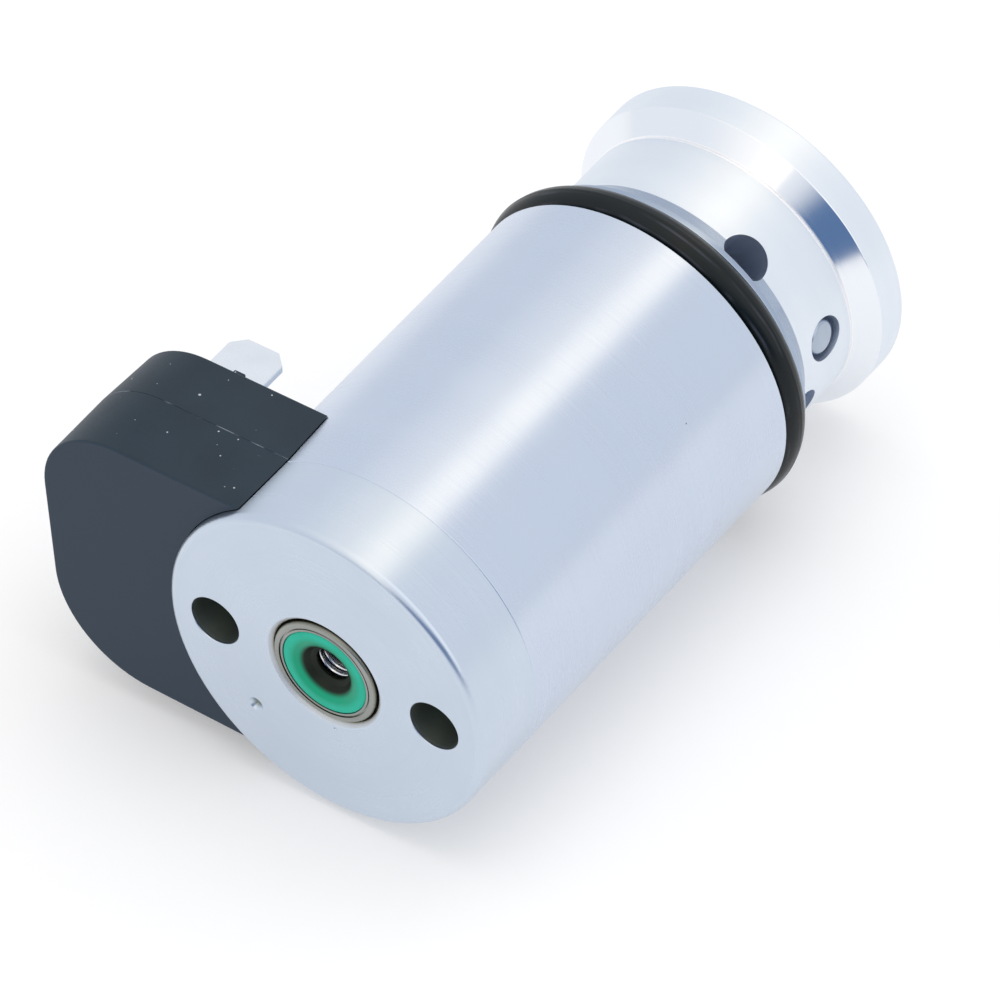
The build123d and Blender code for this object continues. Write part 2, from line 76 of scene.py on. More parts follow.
class Body(Enum):
    """The bodies that the dressed pieces ride on."""

    VALVE = "valve"
    FACE_SEAL = "face_seal"


class Cut(Enum):
    """What a boolean step does with its tools."""

    AWAY = "DIFFERENCE"
    TOGETHER = "UNION"


# Outlines and meshes


class Outline:
    """A plane outline with rounded corners, given corner by corner."""

    largest_share = 0.49  # of a straight side, taken up by one rounding

    def __init__(self, steps: int = 5) -> None:
        """Starts an empty outline, with so many straight pieces in each rounded corner."""
        self.steps = steps
        self.corners: list[tuple[float, float, float]] = []

    def to(self, a: float, b: float, rounding: float = 0.0) -> "Outline":
        """Adds a corner, which is a radius and a distance along the axis on a turned piece."""
        self.corners.append((a, b, rounding))
        return self

    def points(self, closed: bool = True) -> list[Point]:
        """Works out the outline with its rounded corners.

        Args:
            closed: Whether the last corner joins the first one.

        Returns:
            The points in order.
        """
        result: list[Point] = []
        count = len(self.corners)
        for index, (a, b, rounding) in enumerate(self.corners):
            here = Vector((a, b))
            inner = closed or 0 < index < count - 1
            if not rounding or not inner:
                result.append((a, b))
                continue
            before = Vector(self.corners[index - 1][:2]) - here
            after = Vector(self.corners[(index + 1) % count][:2]) - here
            half = before.angle(after) / 2
            limit = self.largest_share * min(before.length, after.length)
            reach = min(rounding / math.tan(half), limit)
            radius = reach * math.tan(half)
            inward = (before.normalized() + after.normalized()).normalized()
            middle = here + inward * (radius / math.sin(half))
            start = here + before.normalized() * reach - middle
            end = here + after.normalized() * reach - middle
            sweep = start.angle_signed(end)
            for step in range(self.steps + 1):
                turned = start.copy()
                turned.rotate(Matrix.Rotation(-sweep * step / self.steps, 2))
                result.append(tuple(middle + turned))
        return result


@contextmanager
def editing(mesh: bpy.types.Mesh) -> Iterator[bmesh.types.BMesh]:
    """Opens a mesh for editing and writes it back when the block ends.

    Args:
        mesh: The mesh.

    Yields:
        Its editable form.
    """
    form = bmesh.new()
    form.from_mesh(mesh)
    yield form
    form.to_mesh(mesh)
    form.free()


def weld(mesh: bpy.types.Mesh) -> None:
    """Merges doubled points and turns the faces outwards.

    Args:
        mesh: The mesh.
    """
    with editing(mesh) as form:
        bmesh.ops.remove_doubles(form, verts=form.verts, dist=MERGE_DISTANCE)
        bmesh.ops.recalc_face_normals(form, faces=form.faces)


def new_mesh(name: str, points: list[Vector], faces: list[tuple[int, ...]]) -> bpy.types.Mesh:
    """Makes a closed mesh, in metres, whose faces point outwards.

    Args:
        name: Name of the mesh.
        points: Corners in millimetres.
        faces: Indices of each face's corners.

    Returns:
        The mesh.
    """
    mesh = bpy.data.meshes.new(name)
    mesh.from_pydata([point * MM for point in points], [], faces)
    weld(mesh)
    return mesh


def lathe(name: str, outline: Outline, segments: int, solid: bool = False) -> bpy.types.Mesh:
    """Turns an outline about the valve's axis.

    Args:
        name: Name of the mesh.
        outline: The outline, in radius and distance along the axis.
        segments: Number of steps round the axis.
        solid: Whether the outline starts and ends on the axis, as on a rod or a disc.

    Returns:
        The closed mesh.
    """
    profile = outline.points(closed=not solid)
    count = len(profile)
    points = []
    for step in range(segments):
        angle = FULL_TURN * step / segments
        points += [Vector((r * math.cos(angle), y, r * math.sin(angle))) for r, y in profile]
    faces = []
    spans = count - 1 if solid else count
    for step in range(segments):
        here = step * count
        there = (step + 1) % segments * count
        for index in range(spans):
            following = (index + 1) % count
            faces.append((here + index, here + following, there + following, there + index))
    mesh = new_mesh(name, points, faces)
    if solid:
        close_poles(mesh)
    return mesh


def close_poles(mesh: bpy.types.Mesh) -> None:
    """Dissolves the flat quads that a rod's outline leaves at the axis.

    Args:
        mesh: The turned mesh.
    """
    with editing(mesh) as form:
        bmesh.ops.dissolve_degenerate(form, dist=MERGE_DISTANCE, edges=form.edges)
        bmesh.ops.recalc_face_normals(form, faces=form.faces)


def loft(name: str, rings: list[list[Vector]]) -> bpy.types.Mesh:
    """Joins rings of as many points each into a closed solid with flat ends.

    Args:
        name: Name of the mesh.
        rings: The rings in order, in millimetres.

    Returns:
        The closed mesh.
    """
    count = len(rings[0])
    points = [point for ring in rings for point in ring]
    faces: list[tuple[int, ...]] = []
    for level in range(len(rings) - 1):
        base = level * count
        for index in range(count):
            following = (index + 1) % count
            faces.append((base + index, base + following, base + count + following, base + count + index))
    faces.append(tuple(reversed(range(count))))
    faces.append(tuple(range((len(rings) - 1) * count, len(rings) * count)))
    return new_mesh(name, points, faces)


def block(name: str, low: Corner, high: Corner, rounding: float = 0.0) -> bpy.types.Mesh:
    """Makes a block, with rounded edges if wanted.

    Args:
        name: Name of the mesh.
        low: Lowest corner in millimetres.
        high: Highest corner in millimetres.
        rounding: Radius of the edges, 0 for sharp ones.

    Returns:
        The mesh.
    """
    size = (Vector(high) - Vector(low)) * MM
    place = Matrix.Translation((Vector(high) + Vector(low)) * MM / 2) @ Matrix.Diagonal((*size, 1))
    mesh = bpy.data.meshes.new(name)
    with editing(mesh) as form:
        bmesh.ops.create_cube(form, size=1, matrix=place)
        if rounding:
            bmesh.ops.bevel(
                form, geom=form.edges, offset=rounding * MM, segments=3, profile=0.5, affect="EDGES"
            )
    return mesh


def spoke(name: str, radius: float, y: float, angle: float, inner: float, outer: float) -> bpy.types.Mesh:
    """Makes a cylinder that points straight out from the valve's axis, to drill a hole with.

    Args:
        name: Name of the mesh.
        radius: Radius of the cylinder.
        y: Place along the valve's axis.
        angle: Angle about the axis in degrees, from +X towards +Z.
        inner: Distance from the axis at which it starts.
        outer: Distance from the axis at which it ends.

    Returns:
        The mesh.
    """
    place = (
        Matrix.Translation((0, y * MM, 0))
        @ Matrix.Rotation(-math.radians(angle), 4, "Y")
        @ Matrix.Translation(((inner + outer) / 2 * MM, 0, 0))
        @ Matrix.Rotation(math.pi / 2, 4, "Y")
    )
    mesh = bpy.data.meshes.new(name)
    with editing(mesh) as form:
        radii = {"radius1": radius * MM, "radius2": radius * MM}
        bmesh.ops.create_cone(form, cap_ends=True, segments=HOLE_STEPS, depth=(outer - inner) * MM, **radii)
        form.transform(place)
    return mesh


def placed(mesh: bpy.types.Mesh, matrix: Matrix) -> bpy.types.Mesh:
    """Moves a mesh by a matrix in metres and returns it."""
    mesh.transform(matrix)
    return mesh


def evaluated(obj: bpy.types.Object) -> bpy.types.Mesh:
    """Gives the mesh that an object has with its modifiers.

    Args:
        obj: The object.

    Returns:
        A new mesh.
    """
    graph = bpy.context.evaluated_depsgraph_get()
    graph.update()
    return bpy.data.meshes.new_from_object(obj.evaluated_get(graph), depsgraph=graph)


def combine(base: bpy.types.Mesh, others: list[bpy.types.Mesh], cut: Cut) -> bpy.types.Mesh:
    """Cuts meshes out of a mesh or adds them to it.

    Args:
        base: The mesh to work on.
        others: The meshes to cut out or add.
        cut: Whether they are cut away or joined on.

    Returns:
        The resulting mesh.
    """
    scene = bpy.context.scene.collection
    worked = bpy.data.objects.new(base.name, base)
    tools = [bpy.data.objects.new("tool", mesh) for mesh in others]
    for obj in (worked, *tools):
        scene.objects.link(obj)
    for tool in tools:
        step = worked.modifiers.new("step", "BOOLEAN")
        step.operation = cut.value
        step.solver = "EXACT"
        step.object = tool
    result = evaluated(worked)
    for obj in (worked, *tools):
        bpy.data.objects.remove(obj)
    return result


def drill(base: bpy.types.Mesh, tools: list[bpy.types.Mesh]) -> bpy.types.Mesh:
    """Cuts meshes out of a mesh and returns the drilled mesh."""
    return combine(base, tools, Cut.AWAY)


def soften_hole_edges(mesh: bpy.types.Mesh, surface_radius: float, tolerance: float, width: float) -> None:
    """Rounds the edges at which drilled holes break through a round surface.

    Args:
        mesh: The drilled mesh.
        surface_radius: Radius of the round surface.
        tolerance: How far from that radius an edge may lie.
        width: Width of the rounding.
    """
    sharpest_smooth = math.radians(40)
    level = 1e-4  # millimetres of rise, under which an edge is one of the turned outline's own
    with editing(mesh) as form:
        chosen = []
        for edge in form.edges:
            if len(edge.link_faces) != 2 or edge.calc_face_angle(0) < sharpest_smooth:
                continue
            first, last = (vertex.co / MM for vertex in edge.verts)
            on_surface = all(
                abs(math.hypot(end.x, end.z) - surface_radius) < tolerance for end in (first, last)
            )
            if on_surface and abs(first.y - last.y) > level:
                chosen.append(edge)
        bmesh.ops.bevel(
            form, geom=chosen, offset=width * MM, segments=2, profile=0.5, affect="EDGES",
            clamp_overlap=True,
        )


def split_ring(
    name: str, inner: float, outer: float, start: float, end: float, inner_round: float, gap: float,
    segments: int, angle: float = 0.0,
) -> bpy.types.Mesh:
    """Makes a flat ring with rounded edges and a gap in it.

    Args:
        name: Name of the mesh.
        inner: Its inner radius.
        outer: Its outer radius.
        start: Where it starts along the axis.
        end: Where it ends along the axis.
        inner_round: Rounding of its inner edges.
        gap: Width of the gap.
        segments: Number of steps round the axis.
        angle: Angle of the gap in degrees, from +X towards +Z.

    Returns:
        The mesh.
    """
    outer_round = 0.12
    outline = Outline(steps=3).to(inner, start, inner_round).to(outer, start, outer_round)
    outline.to(outer, end, outer_round).to(inner, end, inner_round)
    low = (0, start - OVERCUT, -gap / 2)
    opening = block("gap", low, (outer + OVERCUT, end + OVERCUT, gap / 2))
    opening.transform(Matrix.Rotation(-math.radians(angle), 4, "Y"))
    return drill(lathe(name, outline, segments), [opening])


def publish(
    name: str,
    mesh: bpy.types.Mesh,
    finish: bpy.types.Material,
    node: str,
    body: Body = Body.VALVE,
    crease: float = 28.0,
    weighted: bool = True,
) -> bpy.types.Object:
    """Makes a finished piece from a mesh, in place of a CAD node.

    Args:
        name: Name of the piece.
        mesh: Its mesh, in place.
        finish: Its material.
        node: The CAD node that it stands for.
        body: The body that it rides on.
        crease: Angle in degrees above which an edge stays sharp.
        weighted: Whether large faces rule the smooth shading.

    Returns:
        The piece.
    """
    mesh.materials.clear()
    mesh.materials.append(finish)
    mesh.polygons.foreach_set("use_smooth", [True] * len(mesh.polygons))
    mesh.polygons.foreach_set("material_index", [0] * len(mesh.polygons))
    mesh.set_sharp_from_angle(angle=math.radians(crease))
    piece = bpy.data.objects.new(name, mesh)
    bpy.context.scene.collection.objects.link(piece)
    if weighted:
        even = piece.modifiers.new("even", "WEIGHTED_NORMAL")
        even.keep_sharp = True
        even.weight = 60
        finished = evaluated(piece)
        piece.modifiers.clear()
        piece.data = finished
    piece.data.name = name
    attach(piece, body.value)
    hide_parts(node)
    log.info("%s: %d faces, for %s", name, len(piece.data.polygons), node)
    return piece


# Shader graphs

Value = float | tuple | bpy.types.NodeSocket


class Graph:
    """A node tree with short calls to add and join nodes."""

    # The inputs of a Mix node that hold the factor and the two colours or the two numbers.
    colour_sockets = (0, 6, 7)
    number_sockets = (0, 2, 3)

    def __init__(self, tree: bpy.types.NodeTree) -> None:
        """Keeps the tree of a material, a world or a group."""
        self.tree = tree

    def add(self, kind: str, **inputs: Value) -> bpy.types.Node:
        """Adds a node and fills its inputs.

        Args:
            kind: The node's type.
            inputs: Values or sockets, with the input's name in lower case and underscores.

        Returns:
            The node.
        """
        node = self.tree.nodes.new(kind)
        for name, value in inputs.items():
            self.fill(node, name, value)
        return node

    def fill(self, node: bpy.types.Node, name: str, value: Value) -> None:
        """Sets or joins a node's input, whose name is in lower case and underscores."""
        socket = next(s for s in node.inputs if s.name.lower().replace(" ", "_") == name and s.enabled)
        self.feed(socket, value)

    def feed(self, socket: bpy.types.NodeSocket, value: Value) -> None:
        """Sets a socket, or joins another one to it.

        Args:
            socket: The socket to set.
            value: A value or a socket.
        """
        if isinstance(value, bpy.types.NodeSocket):
            self.tree.links.new(value, socket)
        elif isinstance(value, tuple) and len(value) == 3 and socket.type == "RGBA":
            socket.default_value = (*value, 1)
        else:
            socket.default_value = value

    def math(self, operation: str, a: Value, b: Value = 0.0, c: Value = 0.0) -> bpy.types.NodeSocket:
        """Adds a Math node.

        Args:
            operation: Name of the operation.
            a: First value or socket.
            b: Second value or socket.
            c: Third value or socket.

        Returns:
            The result.
        """
        node = self.tree.nodes.new("ShaderNodeMath")
        node.operation = operation
        for socket, value in zip(node.inputs, (a, b, c)):
            self.feed(socket, value)
        return node.outputs[0]

    def scaled(self, vector: Value, factor: Value) -> bpy.types.NodeSocket:
        """Scales a vector.

        Args:
            vector: The vector.
            factor: A value or a socket.

        Returns:
            The scaled vector.
        """
        node = self.tree.nodes.new("ShaderNodeVectorMath")
        node.operation = "SCALE"
        self.feed(node.inputs[0], vector)
        self.feed(node.inputs["Scale"], factor)
        return node.outputs[0]

    def span(
        self, value: Value, start: float, end: float, low: float = 0.0, high: float = 1.0
    ) -> bpy.types.NodeSocket:
        """Maps a value from one range to another, clamped, easing in and out.

        Args:
            value: The value to map.
            start: Where the range starts.
            end: Where it ends.
            low: Result at the start.
            high: Result at the end.

        Returns:
            The mapped value.
        """
        node = self.tree.nodes.new("ShaderNodeMapRange")
        node.interpolation_type = "SMOOTHSTEP"
        for socket, number in zip(node.inputs, (value, start, end, low, high)):
            self.feed(socket, number)
        return node.outputs[0]

    def mix(self, factor: Value, a: Value, b: Value) -> bpy.types.NodeSocket:
        """Mixes two colours.

        Args:
            factor: Share of the second colour.
            a: First colour.
            b: Second colour.

        Returns:
            The mixed colour.
        """
        node = self.tree.nodes.new("ShaderNodeMix")
        node.data_type = "RGBA"
        for number, value in zip(self.colour_sockets, (factor, a, b)):
            self.feed(node.inputs[number], value)
        return node.outputs[2]

    def blend(self, factor: Value, a: Value, b: Value) -> bpy.types.NodeSocket:
        """Mixes two numbers.

        Args:
            factor: Share of the second number.
            a: First number.
            b: Second number.

        Returns:
            The mixed number.
        """
        node = self.tree.nodes.new("ShaderNodeMix")
        node.data_type = "FLOAT"
        for number, value in zip(self.number_sockets, (factor, a, b)):
            self.feed(node.inputs[number], value)
        return node.outputs[0]

    def noise(
        self, place: Value, scale: float, detail: float = 2.0, line: bool = False
    ) -> bpy.types.NodeSocket:
        """Adds a noise and returns its value.

        Args:
            place: The vector, or the single coordinate on a line.
            scale: Its scale.
            detail: Its detail.
            line: Whether it varies along one coordinate only.

        Returns:
            The noise, about 0 to 1.
        """
        node = self.tree.nodes.new("ShaderNodeTexNoise")
        if line:
            node.noise_dimensions = "1D"
        node.inputs["Scale"].default_value = scale
        node.inputs["Detail"].default_value = detail
        self.feed(node.inputs["W" if line else "Vector"], place)
        return node.outputs["Fac"]

    def group(self, tree: bpy.types.NodeTree, **inputs: Value) -> bpy.types.Node:
        """Adds a node group and fills its inputs.

        Args:
            tree: The group's tree.
            inputs: Values or sockets, with the input's name in lower case and underscores.

        Returns:
            The group's node.
        """
        node = self.tree.nodes.new("ShaderNodeGroup")
        node.node_tree = tree
        for name, value in inputs.items():
            self.fill(node, name, value)
        return node


def start_group(name: str, inputs: dict[str, float], outputs: list[str]) -> tuple[Graph, dict, dict]:
    """Starts a shader node group, whose sockets are vectors if their name ends in Place, else numbers.

    Args:
        name: Name of the group.
        inputs: Input names with their first values, which vectors don't use.
        outputs: Output names.

    Returns:
        Its graph, its input sockets by name and its output sockets by name.
    """
    tree = bpy.data.node_groups.new(name, "ShaderNodeTree")
    for label, value in inputs.items():
        kind = "NodeSocketVector" if label.endswith("Place") else "NodeSocketFloat"
        socket = tree.interface.new_socket(label, in_out="INPUT", socket_type=kind)
        if kind == "NodeSocketFloat":
            socket.default_value = value
    for label in outputs:
        kind = "NodeSocketVector" if label.endswith("Place") else "NodeSocketFloat"
        tree.interface.new_socket(label, in_out="OUTPUT", socket_type=kind)
    graph = Graph(tree)
    entry = tree.nodes.new("NodeGroupInput")
    leave = tree.nodes.new("NodeGroupOutput")
    return graph, {s.name: s for s in entry.outputs}, {s.name: s for s in leave.inputs}


class Effects:
    """The shader groups that several finishes share, each built once."""

    def __init__(self) -> None:
        """Builds the groups."""
        self.axis = self.build_axis()
        self.tool_lines = self.build_tool_lines()
        self.mottle = self.build_mottle()
        self.scratches = self.build_scratches()
        self.specks = self.build_specks()
        self.streaks = self.build_streaks()

    @staticmethod
    def build_axis() -> bpy.types.NodeTree:
        """Builds a group that gives places in millimetres about the valve's axis.

        Returns:
            The group: Place, Radius, Along, and Track, which is the radius on end faces and the
            distance along the axis on round ones.
        """
        end_face = 0.75  # share of the normal along the axis above which a face counts as an end face
        graph, _, out = start_group("valve axis", {}, ["Place", "Radius", "Along", "Track"])
        source = graph.add("ShaderNodeTexCoord")
        place = graph.scaled(source.outputs["Object"], 1 / MM)
        parts = graph.add("ShaderNodeSeparateXYZ", vector=place)
        normal = graph.add("ShaderNodeSeparateXYZ", vector=source.outputs["Normal"])
        x, y, z = parts.outputs
        squares = graph.math("ADD", graph.math("MULTIPLY", x, x), graph.math("MULTIPLY", z, z))
        radius = graph.math("SQRT", squares)
        facing = graph.math("GREATER_THAN", graph.math("ABSOLUTE", normal.outputs[1]), end_face)
        on_side = graph.math("SUBTRACT", 1.0, facing)
        across = graph.math("MULTIPLY", radius, facing)
        track = graph.math("ADD", across, graph.math("MULTIPLY", y, on_side))
        graph.feed(out["Place"], place)
        graph.feed(out["Radius"], radius)
        graph.feed(out["Along"], y)
        graph.feed(out["Track"], track)
        return graph.tree

    @staticmethod
    def build_tool_lines() -> bpy.types.NodeTree:
        """Builds a group for the fine lines that a lathe tool leaves.

        Returns:
            The group: Lines, the fine ones, and Bands, the broad ones.
        """
        graph, into, out = start_group("tool lines", {"Track": 0.0, "Pitch": 0.2}, ["Lines", "Bands"])
        steps = graph.math("DIVIDE", into["Track"], into["Pitch"])
        fine = graph.noise(steps, scale=1.0, detail=4.0, line=True)
        broad = graph.noise(steps, scale=0.09, detail=3.0, line=True)
        graph.feed(out["Lines"], fine)
        graph.feed(out["Bands"], graph.span(broad, *NOISE_RANGE))
        return graph.tree

    @staticmethod
    def build_mottle() -> bpy.types.NodeTree:
        """Builds a group for soft clouds of tone.

        Returns:
            The group: Clouds, from 0 to 1.
        """
        graph, into, out = start_group("mottle", {"Place": 0.0, "Size": 8.0}, ["Clouds"])
        place = graph.scaled(into["Place"], graph.math("DIVIDE", 1.0, into["Size"]))
        clouds = graph.noise(place, scale=1.0, detail=3.0)
        graph.feed(out["Clouds"], graph.span(clouds, *NOISE_RANGE))
        return graph.tree

    @staticmethod
    def build_scratches() -> bpy.types.NodeTree:
        """Builds a group for thin, slightly bent scratches in patches.

        Returns:
            The group: Mask, 1 on a scratch.
        """
        graph, into, out = start_group("scratches", {"Place": 0.0, "Width": 0.01, "Amount": 0.5}, ["Mask"])
        level = 0.52  # of the noise, whose contour is the scratch
        lowest, rise = 0.3, 0.5  # the least noise in a scratched patch, and its rise where they are few
        layers = ((0.6, (0.16, 1.3, 0.5)), (2.1, (1.1, 0.13, 0.6)))  # each one's turn and squeeze
        masks = []
        for turn, squeeze in layers:
            mapping = graph.add("ShaderNodeMapping", vector=into["Place"])
            mapping.inputs["Rotation"].default_value = (turn, 0.4 * turn, 0.7 * turn)
            mapping.inputs["Scale"].default_value = squeeze
            waves = graph.noise(mapping.outputs[0], scale=1.0, detail=1.0)
            distance = graph.math("ABSOLUTE", graph.math("SUBTRACT", waves, level))
            masks.append(graph.math("LESS_THAN", distance, into["Width"]))
        patches = graph.noise(into["Place"], scale=0.35, detail=2.0)
        limit = graph.math("SUBTRACT", 1.0, into["Amount"])
        allowed = graph.math("GREATER_THAN", patches, graph.math("MULTIPLY_ADD", limit, rise, lowest))
        graph.feed(out["Mask"], graph.math("MULTIPLY", graph.math("MAXIMUM", *masks), allowed))
        return graph.tree

    @staticmethod
    def build_specks() -> bpy.types.NodeTree:
        """Builds a group for small scattered specks.

        Returns:
            The group: Mask, 1 on a speck.
        """
        names = {"Place": 0.0, "Spacing": 1.5, "Size": 0.08, "Share": 0.3}
        graph, into, out = start_group("specks", names, ["Mask"])
        place = graph.scaled(into["Place"], graph.math("DIVIDE", 1.0, into["Spacing"]))
        cells = graph.add("ShaderNodeTexVoronoi", vector=place)
        cells.inputs["Scale"].default_value = 1.0
        shade = graph.add("ShaderNodeSeparateColor", color=cells.outputs["Color"])
        size = graph.math("MULTIPLY", into["Size"], shade.outputs[1])
        near = graph.math("LESS_THAN", cells.outputs["Distance"], size)
        kept = graph.math("LESS_THAN", shade.outputs[0], into["Share"])
        graph.feed(out["Mask"], graph.math("MULTIPLY", near, kept))
        return graph.tree

    @staticmethod
    def build_streaks() -> bpy.types.NodeTree:
        """Builds a group for long lines round a rubber ring: a shallow relief, with painted sheen on some
        lines.

        Returns:
            The group: Height, from 0 to 1, and Sheen, 1 on a line of painted sheen.
        """
        names = {"Place": 0.0, "Along": 0.0, "Pitch": 0.3}
        graph, into, out = start_group("streaks", names, ["Height", "Pale"])
        wander = 1.6  # millimetres that a line drifts along the axis
        patchy, pale = (0.46, 0.66), (0.56, 0.68)  # ranges of the noises in which a mark comes up
        drift = graph.noise(into["Place"], scale=0.09, detail=1.0)
        track = graph.math("MULTIPLY_ADD", drift, wander, into["Along"])
        steps = graph.math("DIVIDE", track, into["Pitch"])
        lines = graph.noise(steps, scale=1.0, detail=2.0, line=True)
        # Painted sheen: pale lines in patches stand in for highlights along the ring.
        patches = graph.span(graph.noise(into["Place"], scale=0.16, detail=2.0), *patchy)
        graph.feed(out["Height"], lines)
        graph.feed(out["Pale"], graph.math("MULTIPLY", graph.span(lines, *pale), patches))
        return graph.tree


# Finishes


@dataclass(frozen=True)
class Zone:
    """A part of a turned piece that looks different, bounded along the axis and away from it."""

    colour: Colour
    roughness: float
    along: tuple[float, float] = (-200.0, 200.0)
    radius: tuple[float, float] = (-10.0, 200.0)
    edge: float = 0.05
    strength: float = 1.0
    patch_size: float = 0.0
    patch_levels: tuple[float, float] = (0.46, 0.62)

    def mask(self, graph: Graph, axis: bpy.types.Node) -> bpy.types.NodeSocket:
        """Works out where the zone is.

        Args:
            graph: The material's graph.
            axis: The node of the axis group.

        Returns:
            The zone's strength inside it, easing to 0 over its edge, and broken up where it is patchy.
        """
        inside = self.strength
        if self.patch_size:
            patches = graph.noise(axis.outputs["Place"], scale=1 / self.patch_size, detail=3.0)
            inside = graph.math("MULTIPLY", inside, graph.span(patches, *self.patch_levels))
        for name, (low, high) in (("Along", self.along), ("Radius", self.radius)):
            rise = graph.span(axis.outputs[name], low, low + self.edge)
            fall = graph.span(axis.outputs[name], high - self.edge, high, 1.0, 0.0)
            inside = graph.math("MULTIPLY", inside, graph.math("MULTIPLY", rise, fall))
        return inside


@dataclass(frozen=True)
class Metal:
    """A machined or drawn metal with fine lines round the valve's axis."""

    name: str
    colour: Colour
    shade: Colour
    roughness: float = 0.25
    pitch: float = 0.22
    depth: float = 1.2
    grain: float = 0.0
    cloud_size: float = 9.0
    band_share: float = 0.4
    dirt: Colour = (0.16, 0.16, 0.17)
    dirt_share: float = 0.02
    dirt_spacing: float = 1.9
    dirt_size: float = 0.07
    scratch: float = 0.35
    scratch_width: float = 0.0035
    scratch_depth: float = 1.2
    line_gloss: tuple[float, float] = (0.5, 0.72)
    cloud_gloss: float = 0.03
    scratch_gloss: float = 0.12
    grain_turn: float = 0.25
    zones: tuple[Zone, ...] = ()

    def build(self, effects: Effects) -> bpy.types.Material:
        """Builds the material.

        Args:
            effects: The shared groups.

        Returns:
            The material.
        """
        material, graph, shader = start_material(self.name)
        axis = graph.group(effects.axis)
        place = axis.outputs["Place"]
        lines = graph.group(effects.tool_lines, track=axis.outputs["Track"], pitch=self.pitch)
        clouds = graph.group(effects.mottle, place=place, size=self.cloud_size)
        marks = graph.group(
            effects.scratches, place=place, width=self.scratch_width, amount=self.scratch
        )
        specks = graph.group(
            effects.specks, place=place, spacing=self.dirt_spacing, size=self.dirt_size, share=self.dirt_share
        )
        bands = graph.math("MULTIPLY", lines.outputs["Bands"], self.band_share)
        tone = graph.math("MULTIPLY_ADD", clouds.outputs[0], 1 - self.band_share, bands)
        colour = graph.mix(tone, self.colour, self.shade)
        rough = self.roughness
        for zone in self.zones:
            inside = zone.mask(graph, axis)
            colour = graph.mix(inside, colour, zone.colour)
            rough = graph.blend(inside, rough, zone.roughness)
        colour = graph.mix(specks.outputs[0], colour, self.dirt)
        # Tool lines, clouds and scratches make the gloss uneven.
        uneven = graph.math("MULTIPLY_ADD", lines.outputs["Lines"], *self.line_gloss)
        rough = graph.math("MULTIPLY", rough, uneven)
        rough = graph.math("MULTIPLY_ADD", clouds.outputs[0], self.cloud_gloss, rough)
        rough = graph.math("MULTIPLY_ADD", marks.outputs[0], self.scratch_gloss, rough)
        relief = graph.math("MULTIPLY_ADD", marks.outputs[0], -self.scratch_depth, lines.outputs["Lines"])
        graph.fill(shader, "base_color", colour)
        graph.fill(shader, "roughness", rough)
        shader.inputs["Metallic"].default_value = 1.0
        add_bump(graph, shader, relief, self.depth)
        if self.grain:
            tangent = graph.tree.nodes.new("ShaderNodeTangent")
            tangent.direction_type = "RADIAL"
            tangent.axis = "Y"
            shader.inputs["Anisotropic"].default_value = self.grain
            shader.inputs["Anisotropic Rotation"].default_value = self.grain_turn
            graph.feed(shader.inputs["Tangent"], tangent.outputs[0])
        return material


@dataclass(frozen=True)
class Moulding:
    """Moulded plastic or rubber with a fine grain, dust and light scratches."""

    name: str
    colour: Colour
    shade: Colour
    roughness: float = 0.5
    grain_size: float = 0.16
    grain_gloss: float = 0.16
    depth: float = 5.0
    mark: Colour = (0.45, 0.48, 0.52)
    mark_share: float = 0.0
    mark_spacing: float = 1.3
    mark_size: float = 0.075
    scratch: float = 0.0
    scratch_width: float = 0.003
    scratch_depth: float = 0.5
    scratch_pale: float = 0.4
    specular: float = 0.5
    specular_tint: Colour = (1.0, 1.0, 1.0)
    coat: float = 0.0
    coat_roughness: float = 0.18
    cloud_size: float = 7.0
    streak: float = 0.0
    streak_depth: float = 6.0
    streak_pale: float = 0.5
    zones: tuple[Zone, ...] = ()

    def build(self, effects: Effects) -> bpy.types.Material:
        """Builds the material.

        Args:
            effects: The shared groups.

        Returns:
            The material.
        """
        material, graph, shader = start_material(self.name)
        axis = graph.group(effects.axis)
        place = axis.outputs["Place"]
        clouds = graph.group(effects.mottle, place=place, size=self.cloud_size)
        grain = graph.noise(place, scale=1 / self.grain_size, detail=3.0)
        colour = graph.mix(clouds.outputs[0], self.colour, self.shade)
        smoothest = self.roughness - self.grain_gloss / 2
        rough = graph.math("MULTIPLY_ADD", grain, self.grain_gloss, smoothest)
        relief = grain
        if self.mark_share:
            specks = graph.group(
                effects.specks, place=place, spacing=self.mark_spacing, size=self.mark_size,
                share=self.mark_share,
            )
            colour = graph.mix(specks.outputs[0], colour, self.mark)
        if self.scratch:
            marks = graph.group(
                effects.scratches, place=place, width=self.scratch_width, amount=self.scratch
            )
            pale = graph.math("MULTIPLY", marks.outputs[0], self.scratch_pale)
            colour = graph.mix(pale, colour, self.mark)
            relief = graph.math("MULTIPLY_ADD", marks.outputs[0], -self.scratch_depth, grain)
        # Streaks: a shallow relief along lines round the ring, and pale lines of painted sheen that stand in
        # for highlights.
        if self.streak:
            along = axis.outputs["Along"]
            streaks = graph.group(effects.streaks, place=place, along=along, pitch=self.streak)
            pale = graph.math("MULTIPLY", streaks.outputs["Pale"], self.streak_pale)
            colour = graph.mix(pale, colour, self.mark)
            relief = graph.math("MULTIPLY_ADD", streaks.outputs["Height"], self.streak_depth, grain)
        for zone in self.zones:
            inside = zone.mask(graph, axis)
            colour = graph.mix(inside, colour, zone.colour)
            rough = graph.blend(inside, rough, zone.roughness)
        graph.fill(shader, "base_color", colour)
        graph.fill(shader, "roughness", rough)
        shader.inputs["Specular IOR Level"].default_value = self.specular
        shader.inputs["Specular Tint"].default_value = (*self.specular_tint, 1)
        shader.inputs["Coat Weight"].default_value = self.coat
        shader.inputs["Coat Roughness"].default_value = self.coat_roughness
        add_bump(graph, shader, relief, self.depth)
        return material


